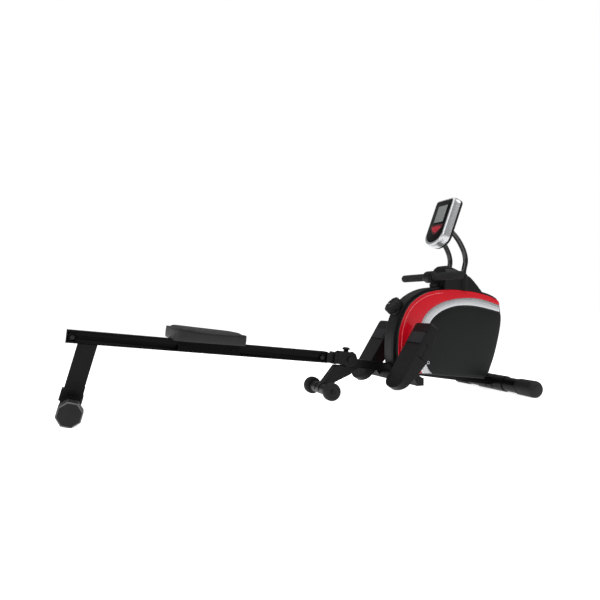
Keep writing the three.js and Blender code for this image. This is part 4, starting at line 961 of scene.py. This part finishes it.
# Handle
handlePlace = Matrix.Translation(inDrive((194, 505), 0)) @ Matrix.Rotation(-math.pi / 2, 4, "X")
hubHalf = [(0, 30), (16.6, 30), (17.4, 29.4), (19.2, 23), (21.5, 21.8), (25.2, 21), (26, 19.6), (26, 11),
    (25.2, 10.4), (25.2, 9.2), (26, 8.6), (26, 0)]
hub = [(r, -y) for r, y in hubHalf] + [(r, y) for r, y in reversed(hubHalf)][1:]
dress(turned("handle_hub", hub, handlePlace, 80), "handle", "black_plastic", ["handle_bar"])
dress(turned("handle_tube", [(0, -216), (11, -216), (11, 216), (0, 216)], handlePlace, 48), "handle",
    "frame_paint")
grip = {"radius": 16.5, "from": 33, "to": 219, "grooves": 9}
for side, word in ((1, "left"), (-1, "right")):
    profile = [(11.3, grip["from"]), (15.2, grip["from"]), (16.3, grip["from"] + 1.2)]
    span = grip["to"] - grip["from"] - 30
    for i in range(grip["grooves"]):
        at = grip["from"] + 14 + span * i / (grip["grooves"] - 1)
        profile += [(grip["radius"], at - 1.6), (15.9, at - 0.8), (15.9, at + 0.8), (grip["radius"], at + 1.6)]
    profile += [(16.5, grip["to"] - 7), (16.0, grip["to"] - 3.4), (14.2, grip["to"] - 1),
        (11.5, grip["to"] - 0.2), (0, grip["to"])]
    profile += [(0, grip["to"] - 3), (11.3, grip["to"] - 3)]
    piece = turned("grip_" + word, [(r, side * y) for r, y in profile[:-2]], handlePlace, 72, 40)
    dress(piece, "handle", "grip_foam", ["handle_grip_" + word])

# Strap from the reel over the guide roller to the handle
strap = {
    "thick": 2, "across": [-14, -13.6, -7, 0, 7, 13.6, 14], "up": 505,
        "stations": (250, 242, 236, 232, 228, 225, 222, 220.5),
    "reel": (200, 340), "reelRadius": 35.3, "guide": 258, "guideRadius": 12, "guideTurn": 13.3, "gap": 0.3,
}
reelX, reelZ = strap["reel"]
guideX = strap["guide"]
guideZ = strap["up"] - strap["thick"] / 2 - strap["gap"] - strap["guideRadius"]
reach = math.hypot(guideX - reelX, guideZ - reelZ)
leave = math.atan2(guideZ - reelZ, guideX - reelX) - math.acos((strap["reelRadius"] - strap["guideTurn"]) / reach)
strapRun = arcPoints(reelX, reelZ, strap["reelRadius"], leave - 0.5, leave, 6)
strapRun += arcPoints(guideX, guideZ, strap["guideTurn"], leave, math.pi / 2, 14)
strapRun += [Vector((x, strap["up"])) for x in strap["stations"]]
upper, lower = beside(strapRun, strap["thick"] / 2), beside(strapRun, -strap["thick"] / 2)


def strapPiece(name, first, last):
    rings = []
    for a, b in list(zip(upper, lower))[first:last]:
        middleOf = a.lerp(b, 0.5)
        across = [(y, 0.4 if abs(y) == strap["across"][-1] else 1) for y in strap["across"]]
        ring = [inDrive(middleOf.lerp(a, share), y) for y, share in across]
        ring += [inDrive(middleOf.lerp(b, share), y) for y, share in reversed(across)]
        rings.append(ring)
    return loft(name, rings)


bend = 23  # where the strap leaves the guide roller, straight from there to the handle
dress(strapPiece("strap_run", 0, bend + 1), "frame", "webbing")
pulled = dress(strapPiece("strap_webbing", bend, None), None, "webbing", ["strap"])
inDrive((242, 505), 0)
inDrive((221.5, 505), 0)
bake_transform(pulled)
print("handle and strap made")

# Footplates, their ribs and straps
footPlate = {"inner": 95, "outer": 215, "toe": 208, "heel": -88, "face": 47, "back": 33, "low": -14, "skirt": 4}
pedalTurn = Matrix.Rotation(math.radians(-57.7), 4, "Y")


def plateLoop(inset, count=140):
    inner, outer = footPlate["inner"] + inset, footPlate["outer"] - inset
    toe, heel = footPlate["toe"] - inset, footPlate["heel"] + inset
    middleY = (inner + outer) / 2
    curve = lambda a, b, c, n=10: [Vector(a) * (1 - t) ** 2 + Vector(b) * 2 * t * (1 - t) + Vector(c) * t * t
        for t in (i / n for i in range(n))]
    points = curve((toe - 14, inner), (toe, inner), (toe, inner + 14)) + curve((toe, outer - 14), (toe, outer),
        (toe - 14, outer))
    points += curve((heel + 34, outer), (heel + 4, outer - 4), (heel, middleY)) + curve((heel, middleY),
        (heel + 4, inner + 4), (heel + 34, inner))
    return evenly(points, count, True)


def slabFrom(name, corners, low, high, place):
    rings = [[place @ Vector((x * mm, y * mm, z * mm)) for x, z in corners] for y in (low, high)]
    return loft(name, rings)


for side, word in ((1, "left"), (-1, "right")):
    platePlace = Matrix.Translation(jointAt["footplate_%s_tip" % word]) @ pedalTurn
    platePlace.translation.y = 0
    inPlate = lambda p, z: platePlace @ Vector((p[0] * mm, side * p[1] * mm, z * mm))
    edgeRings = [[inPlate(p, z) for p in plateLoop(i)] for i,
        z in ((0, footPlate["low"]), (0, 44.6), (0.5, 46), (1.5, 46.8), (3, footPlate["face"]))]
    plate = loft("plate_" + word, edgeRings)
    carve(plate, loft("plateHollow", [[inPlate(p, z) for p in plateLoop(footPlate["skirt"])]
        for z in (-20, footPlate["back"])]))
    sideCorners = [(-89, 50), (-89, 24), (-54, 12), (20, -6), (60, -13), (110, -12), (209, 19), (209, 50)]
    span = (footPlate["inner"] - 4, footPlate["outer"] + 4)
    carve(plate, slabFrom("plateSide", sideCorners, side * span[0], side * span[1], platePlace), "INTERSECT")
    sideSlot = slabFrom("plateSideSlot", [(64, 22), (66, 17), (122, 17), (124, 22), (122, 26), (66, 26)],
        side * 213, side * 220, platePlace)
    carve(plate, sideSlot)
    for y in (105, 205):
        slot = [Vector((140 + x, y + w)) for x, w in ((-27, -2.5), (27, -2.5), (27, 2.5), (-27, 2.5))]
        carve(plate, loft("plateSlot", [[inPlate(p, z) for p in slot] for z in (30, 50)]))
    roundEdges(plate, 0.0009, 2, 38)
    body = "footplate_" + word
    dress(plate, body, "black_plastic", ["footplate_" + word])
    axis = Matrix.Translation(platePlace.translation) @ Matrix.Rotation(-math.pi / 2, 4, "X")
    hubProfile = [(7.2, side * 119), (13, side * 119), (13, side * 187), (7.2, side * 187)]
    dress(turned("plate_hub_" + word, hubProfile, axis, 56), body, "black_plastic")
    web = slabFrom("plate_web_" + word, [(-11, 6), (11, 6), (15, 33.4), (-15, 33.4)], side * 119, side * 187,
        platePlace)
    dress(roundEdges(web, 0.001), body, "black_plastic")
    treadPlace = platePlace @ Matrix.Translation((-62 * mm, side * 155 * mm, 46.7 * mm))
    addRibs("tread_" + word, treadPlace, {"Count": 16, "Spacing": 0.0095, "Length": 0.074, "Width": 0.0042,
        "Height": 0.0012}, body, "black_plastic", 0.0003)
    # Strap: up through one slot, over the shoe's place and down through the other
    arch = through([(104.5, 31.2), (104.2, 40), (106, 47.5), (116, 50.2), (155, 51.2), (194, 50.2), (204, 47.5),
        (205.8, 40), (205.5, 31.2)], 60)
    arch = evenly(arch + through([(205.5, 31.2), (196, 29.8), (155, 29.6), (114, 29.8), (104.5, 31.2)],
        30)[1:-1], 110, True)
    rings = []
    inside, outside = beside(arch, -0.9, True), beside(arch, 0.9, True)
    for a, b in zip(inside, outside):
        ring = []
        for x, line in ((-24, a), (-23, a), (23, a), (24, a), (24, b), (23, b), (-23, b), (-24, b)):
            point = a.lerp(b, 0.5).lerp(line, 0.45 if abs(x) == 24 else 1)
            ring.append(platePlace @ Vector(((140 + x) * mm, side * point.x * mm, point.y * mm)))
        rings.append(ring)
    band = loft("shoe_strap_" + word, rings, endless=True)
    dress(band, body, "webbing", ["foot_strap_" + word])
print("footplates made")

# Feet and wheels
frontFoot = alongY(pivot.x + layout["frontFoot"] * mm, layout["frontRadius"] * mm)
tubeProfile = [(0, -235), (31, -235), (31, -86), (34.7, -85), (34.7, 85), (31, 86), (31, 235), (0, 235)]
footTube = turned("front_tube", tubeProfile, frontFoot, 96)


def standOn(piece):
    for vert in piece.data.vertices:
        vert.co.z = max(vert.co.z, 0.0)
    return shadeByAngle(piece, 32)


dress(standOn(footTube), "frame", "frame_paint", ["front_foot_tube"])
for side, word in ((1, "left"), (-1, "right")):
    profile = [(31.3, 166), (33.2, 166), (34.2, 167), (34.4, 172), (33.9, 173), (33.9, 175), (34.5, 176),
        (34.7, 181), (34.1, 182), (34.1, 184), (34.7, 185), (35.5, 253)]
    profile += [(35.5 - 22 * (1 - math.cos(math.radians(a))), 253 + 22 * math.sin(math.radians(a)))
        for a in range(8, 90, 8)]
    profile += [(0, 275)]
    profile = [(0, 166)] + profile
    cap = standOn(turned("front_cap_" + word, [(r, side * y) for r, y in profile], frontFoot, 96, 36))
    dress(cap, "frame", "black_rubber", ["front_foot_cap_" + word])

rearBack = layout["rearFoot"] * math.cos(math.radians(layout["slope"])) - layout["rearLean"]
rearFootPlace = alongY(pivot.x - rearBack * mm, layout["rearUp"] * mm)
rearTube = turned("rear_tube", [(0, -182.5), (29, -182.5), (29, 182.5), (0, 182.5)], rearFootPlace, 96)
dress(rearTube, "rail_assembly", "frame_paint", ["rear_foot_tube"])
softened("rear_foot_cap_left", 0.0024, 3)
softened("rear_foot_cap_right", 0.0024, 3)

capEight = lambda radius, y: [rearFootPlace @ Vector((radius * mm * math.cos(capTurn + math.pi / 4 * i),
    radius * mm * math.sin(capTurn + math.pi / 4 * i), y * mm)) for i in range(8)]
capVerts = [rearFootPlace.inverted() @ v.co for v in frame["nodes"]["rear_foot_cap_left"].data.vertices]
farthest = max(capVerts, key=lambda v: math.hypot(v.x, v.y))
capTurn = math.atan2(farthest.y, farthest.x)
for side, word in ((1, "left"), (-1, "right")):
    # Painted highlight: the chamfered rim ring is made in a much lighter rubber
    rimRings = [capEight(r, side * y) for r, y in ((38, 198.3), (42.7, 198.3), (42.2, 199.4), (39.6, 200.2),
        (38, 199.6))]
    dress(loft("rear_cap_rim_" + word, rimRings, endless=True, smoothAngle=20), "rail_assembly", "black_rubber",
        finish=capRimHighlight)
    insertRings = [capEight(r, side * y) for r, y in ((37.6, 196), (37.6, 199.0), (36.4, 199.6), (30, 200.4),
        (12, 200.9))]
    dress(loft("rear_cap_face_" + word, insertRings, smoothAngle=20), "rail_assembly", "black_rubber")

wheelPlace = alongY(pivot.x - layout["wheels"] * mm, layout["wheelsUp"] * mm)
wheel = {"radius": 35, "inner": 84.5, "outer": 117.5, "grooves": 3}
for side, word in ((1, "left"), (-1, "right")):
    inner, outer, radius = wheel["inner"], wheel["outer"], wheel["radius"]
    profile = [(8.2, inner), (20, inner), (22, inner + 0.6), (23, inner), (30.5, inner + 1.6),
        (33.6, inner + 4), (34.8, inner + 8)]
    for i in range(wheel["grooves"]):
        at = inner + 11 + i * 5.5
        profile += [(radius, at - 1), (34.1, at - 0.5), (34.1, at + 0.5), (radius, at + 1)]
    profile += [(34.8, outer - 8), (33.6, outer - 4), (30.5, outer - 1.6), (24.5, outer - 0.2),
        (23.6, outer - 1.4), (22, outer - 1.6), (17, outer - 1.2), (8.2, outer - 1)]
    piece = turned("wheel_" + word, [(r, side * y) for r, y in profile], wheelPlace, 96)
    dress(piece, "wheel_" + word, "black_rubber", ["transport_wheel_" + word])
print("feet and wheels made")

# Fold lock knob
lockPlace = railPlace @ Matrix.Translation((-9 * mm, 0, 0))
ball = [(0, 24.7), (3.4, 24.7), (4, 25.4), (4, 31.3), (10.4, 31.3), (11, 32), (11, 34), (9, 35.6), (11, 36.4),
    (14.4, 37.4), (16, 39.6), (15.8, 41.6), (13.8, 44.4), (10, 46.4), (5, 47.3), (0, 47.5)]
dress(turned("lock_ball", ball, lockPlace, 56, 45), "lock_knob", "black_plastic", ["fold_lock_knob"])

# Steelwork and mouldings with their edges rounded
rounding = {
    "main_beam": 1.6, "wheel_leg": 1.4, "wheel_tube": 1.0, "fold_bolt": 0.8, "pedal_bar": 1.2, "rail": 0.9,
        "rail_end_cap": 1.2,
    "seat_stop_rear": 0.6, "seat_stop_front": 0.6, "hinge_knuckle": 1.4, "rear_leg": 1.6, "seat_base": 1.4,
        "seat_carriage": 0.7,
    "seat_roller_rear_left": 0.6, "seat_roller_rear_right": 0.6, "seat_roller_front_left": 0.6,
        "seat_roller_front_right": 0.6,
    "guide_roller": 0.6, "drive_bracket": 0.7, "flywheel_axle": 0.5, "reel_axle": 0.5, "drive_belt": 0.4,
        "flywheel": 0.8,
    "drive_pulley": 0.6, "strap_reel": 0.4, "magnet_arm": 0.6,
}
blackParts = {"fold_bolt": "black_plastic"}
deepBlack = {"seat_carriage": finishes["rail_finish"], "wheel_tube": finishes["frame_paint"]}
eased = {}
for node, width in rounding.items():
    eased[node] = softened(node, width * mm, 2, blackParts.get(node), deepBlack.get(node))
# Blind holes in the rail's sides for the leg's bolts
railHoles = {"along": (-1043, -1012, -958), "radius": 4.5, "from": 10.2, "to": 16}
for x in railHoles["along"]:
    for side in (1, -1):
        profile = [(0, side * railHoles["from"]), (railHoles["radius"], side * railHoles["from"]),
            (railHoles["radius"], side * railHoles["to"]), (0, side * railHoles["to"])]
        place = railPlace @ Matrix.Translation((x * mm, 0, 0)) @ Matrix.Rotation(-math.pi / 2, 4, "X")
        carve(eased["rail"], turned("holeCut", profile, place, 24))
shadeByAngle(eased["rail"], 40)
print("steelwork rounded")

# Weld beads round the feet and the wheel bar
circle = lambda place, radius, y, n=72: [place @ Vector((radius * mm * math.cos(2 * math.pi * i / n),
    radius * mm * math.sin(2 * math.pi * i / n), y * mm)) for i in range(n)]
for side, word in ((1, "left"), (-1, "right")):
    seam = [p for p in circle(rearFootPlace, 30.2, side * 22.6) if p.z > rearFootPlace.translation.z + 0.004]
    addWeld("rear_weld_" + word, seam, "rail_assembly", 1.8, False)
    seam = [p for p in circle(wheelPlace, 22.6, side * 19.6) if p.z > wheelPlace.translation.z - 0.006]
    addWeld("wheel_weld_" + word, seam, "frame", 1.6, False)
    seam = [p for p in circle(frontFoot, 35,
        side * 20.8) if p.x < frontFoot.translation.x - 0.006 and p.z > 0.012]
    addWeld("front_weld_" + word, seam, "frame", 1.8, False)
onRail = lambda along, y, up: railPlace @ Vector((along * mm, y * mm, up * mm))
railUp = (railPlace.to_3x3() @ Vector((0, 0, 1))).normalized()
for side, word in ((-1, "bolts"), (1, "nuts")):
    spots = [onRail(-52, side * 28.6, up) for up in (8, -10)]
    addFixings("knuckle_" + word, spots, (0, side, 0), 5.5, 3.2, 6, "rail_assembly")
print("welds and screws made")

# Seat pad: a cushion blown up a little, its seam and piping put on after
seat = {"back": -597, "long": 265, "forward": 5, "rise": 34.5, "rearTop": 34, "frontTop": 29, "swell": 6.0,
    "voxel": 5.0, "edge": 5.5, "skirt": 13.0, "steps": 180, "seamReach": 0.006, "seamDepth": 0.0016}
cushioning = {
    "use_pressure": True, "uniform_pressure_force": 4.0, "quality": 5, "mass": 0.3,
    "tension_stiffness": 30, "compression_stiffness": 30,
}
seatPlace = railPlace @ Matrix.Translation((seat["back"] * mm, 0, 0))
padPoints = [seatPlace.inverted() @ v.co for v in frame["nodes"]["seat_pad"].data.vertices]
flatPoints = [Vector((v.x / mm, v.y / mm)) for v in padPoints]
padOutline = evenly([flatPoints[i] for i in convex_hull_2d(flatPoints)], seat["steps"], True)
padMiddle = sum(padOutline, Vector((0, 0))) / len(padOutline)
turnWise = 1 if (beside(padOutline, 5, True)[0] - padMiddle).length < (padOutline[0] - padMiddle).length else -1


def seatLoop(inset):
    return beside(padOutline, inset * turnWise, True)


def topAt(x):
    share = min(max((x - seat["forward"]) / seat["long"] + 0.5, 0), 1)
    return seat["rise"] + seat["rearTop"] + (seat["frontTop"] - seat["rearTop"]) * share + 2.5 * math.cos(share * math.pi * 2) - 2.5


rings = []
for inset, up in ((10, 0.0), (4.5, 0.8), (3, 5), (3, 0.62), (4.2, 0.82), (8, 0.95), (14, 1.0)):
    ring = []
    for p in seatLoop(inset):
        height = topAt(p.x) - 3 - seat["rise"]
        z = seat["rise"] + 0.4 + (up if up > 1 or inset in (10, 4.5) else height * up)
        ring.append(Vector((p.x * mm, p.y * mm, z * mm)))
    rings.append(ring)
start = loft("seat_start", rings)
remesh = start.modifiers.new("remesh", "REMESH")
remesh.mode = "VOXEL"
remesh.voxel_size = seat["voxel"] * mm
settle(start)
rest = [v.co.copy() for v in start.data.vertices]
cloth = start.modifiers.new("cloth", "CLOTH")
for setting, value in cushioning.items():
    setattr(cloth.settings, setting, value)
cloth.settings.effector_weights.gravity = 0
cloth.point_cache.frame_end = 20
for number in range(1, 21):
    bpy.context.scene.frame_set(number)
graph = bpy.context.evaluated_depsgraph_get()
swollen = bpy.data.meshes.new_from_object(start.evaluated_get(graph))
start.modifiers.clear()
bpy.context.scene.frame_set(1)
for vert, before, after in zip(start.data.vertices, rest, swollen.vertices):
    move = after.co - before
    if move.length > seat["swell"] * mm:
        move.length = seat["swell"] * mm
    vert.co = before + move
flat = (seat["rise"] + 0.3) * mm
for vert in start.data.vertices:
    vert.co.z = max(vert.co.z, flat)
finer = start.modifiers.new("finer", "SUBSURF")
finer.levels = finer.render_levels = 1
settle(start)
start.data.shade_smooth()
# The seam: a shallow sewn channel where the top panel meets the side wall
seamPath = []
for p in seatLoop(0.6):
    seamPath.append(Vector((p.x * mm, p.y * mm, (topAt(p.x) - seat["edge"]) * mm)))
steps = seat["steps"]
channelFaces = [(i, (i + 1) % steps, steps + (i + 1) % steps, steps + i) for i in range(steps)]
channel = BVHTree.FromPolygons([p + Vector((0, 0, dz)) for dz in (-1e-4, 1e-4) for p in seamPath], channelFaces)
for vert in start.data.vertices:
    distance = channel.find_nearest(vert.co)[3]
    if distance < seat["seamReach"]:
        inward = Vector((seat["forward"] * mm, 0, 0.05)) - vert.co
        vert.co += inward.normalized() * seat["seamDepth"] * (1 - distance / seat["seamReach"]) ** 2
start.data.transform(seatPlace)
start.name = "seat_cushion"
dress(start, "seat", "seat_skin", ["seat_pad"])
pipingPath = [seatPlace @ p for p in seamPath]
rings = []
for i, point in enumerate(pipingPath):
    ahead = (pipingPath[(i + 1) % steps] - pipingPath[i - 1]).normalized()
    first = ahead.cross(railUp).normalized()
    second = first.cross(ahead).normalized()
    rings.append([point + (first * math.cos(2 * math.pi * k / 10) + second * math.sin(2 * math.pi * k / 10)) * 0.0015 for k in range(10)])
dress(loft("seat_piping", rings, endless=True, smoothAngle=80), "seat", "seat_skin")
# Upright panel round the cushion, wrapped under the board
panelRings = []
for share, inset in ((0.0, 3.0), (0.0, 0.8), (0.06, -0.4), (0.3, -1.2), (0.6, -1.4), (0.85, -0.8), (0.96, 0.2),
        (1.0, 1.4), (1.0, 5.0)):
    ring = []
    for p, edge in zip(seatLoop(inset), seatLoop(0)):
        foot = seat["rise"] - seat["skirt"]
        ring.append(seatPlace @ Vector((p.x * mm, p.y * mm,
            (foot + (topAt(edge.x) - seat["edge"] - foot) * share) * mm)))
    panelRings.append(ring)
bm = bmesh.new()
panelVerts = [[bm.verts.new(p) for p in ring] for ring in panelRings]
for lower, upper in zip(panelVerts, panelVerts[1:] + panelVerts[:1]):
    for i in range(len(lower)):
        j = (i + 1) % len(lower)
        bm.faces.new((lower[i], lower[j], upper[j], upper[i]))
dress(shadeByAngle(linked("seat_side_panel", meshOf(bm, "seat_side_panel")), 60), "seat", "seat_skin")
# Stitches just under the piping
stitchInputs = {"Stitch Length": 0.004, "Stitch Width": 0.0009, "Finish": None}
stitches = Tree("stitches", stitchInputs)
stitchSize = stitches.node("ShaderNodeCombineXYZ", None,
    {"X": stitches.given("Stitch Width"), "Y": stitches.given("Stitch Width"),
    "Z": stitches.given("Stitch Length")})
stitchBar = stitches.node("GeometryNodeMeshCube", None,
    {"Size": stitchSize, "Vertices X": 2, "Vertices Y": 2, "Vertices Z": 3})
stitchLine = stitches.node("GeometryNodeMeshToCurve", None, {"Mesh": stitches.given("Geometry")})
stitchSpots = stitches.tree.nodes.new("GeometryNodeCurveToPoints")
stitchSpots.inputs["Count"].default_value = 160
stitches.tree.links.new(stitchLine, stitchSpots.inputs["Curve"])
placed = stitches.node("GeometryNodeInstanceOnPoints", None,
    {"Points": stitchSpots.outputs["Points"], "Instance": stitchBar,
    "Rotation": stitchSpots.outputs["Rotation"]})
stitches.finishWith(placed)
stitchMesh = bpy.data.meshes.new("seat_stitches")
outline = [seatPlace @ Vector((p.x * mm, p.y * mm, (topAt(p.x) - seat["edge"] - 3.2) * mm))
    for p in seatLoop(-1.0)]
stitchMesh.from_pydata([tuple(p) for p in outline], [(i, (i + 1) % len(outline)) for i in range(len(outline))],
    [])
stitchPiece = stitches.run("seat_stitches", stitchMesh, {"Finish": finishes["seat_skin"]})
dress(stitchPiece, "seat", "seat_skin")
print("seat made")

# Anything still shown from the CAD takes its slot's finish
for name, node in frame["nodes"].items():
    if not node.hide_render:
        for spot in node.material_slots:
            spot.material = finishes[slotOf[name]]
        print("kept as it is:", name)
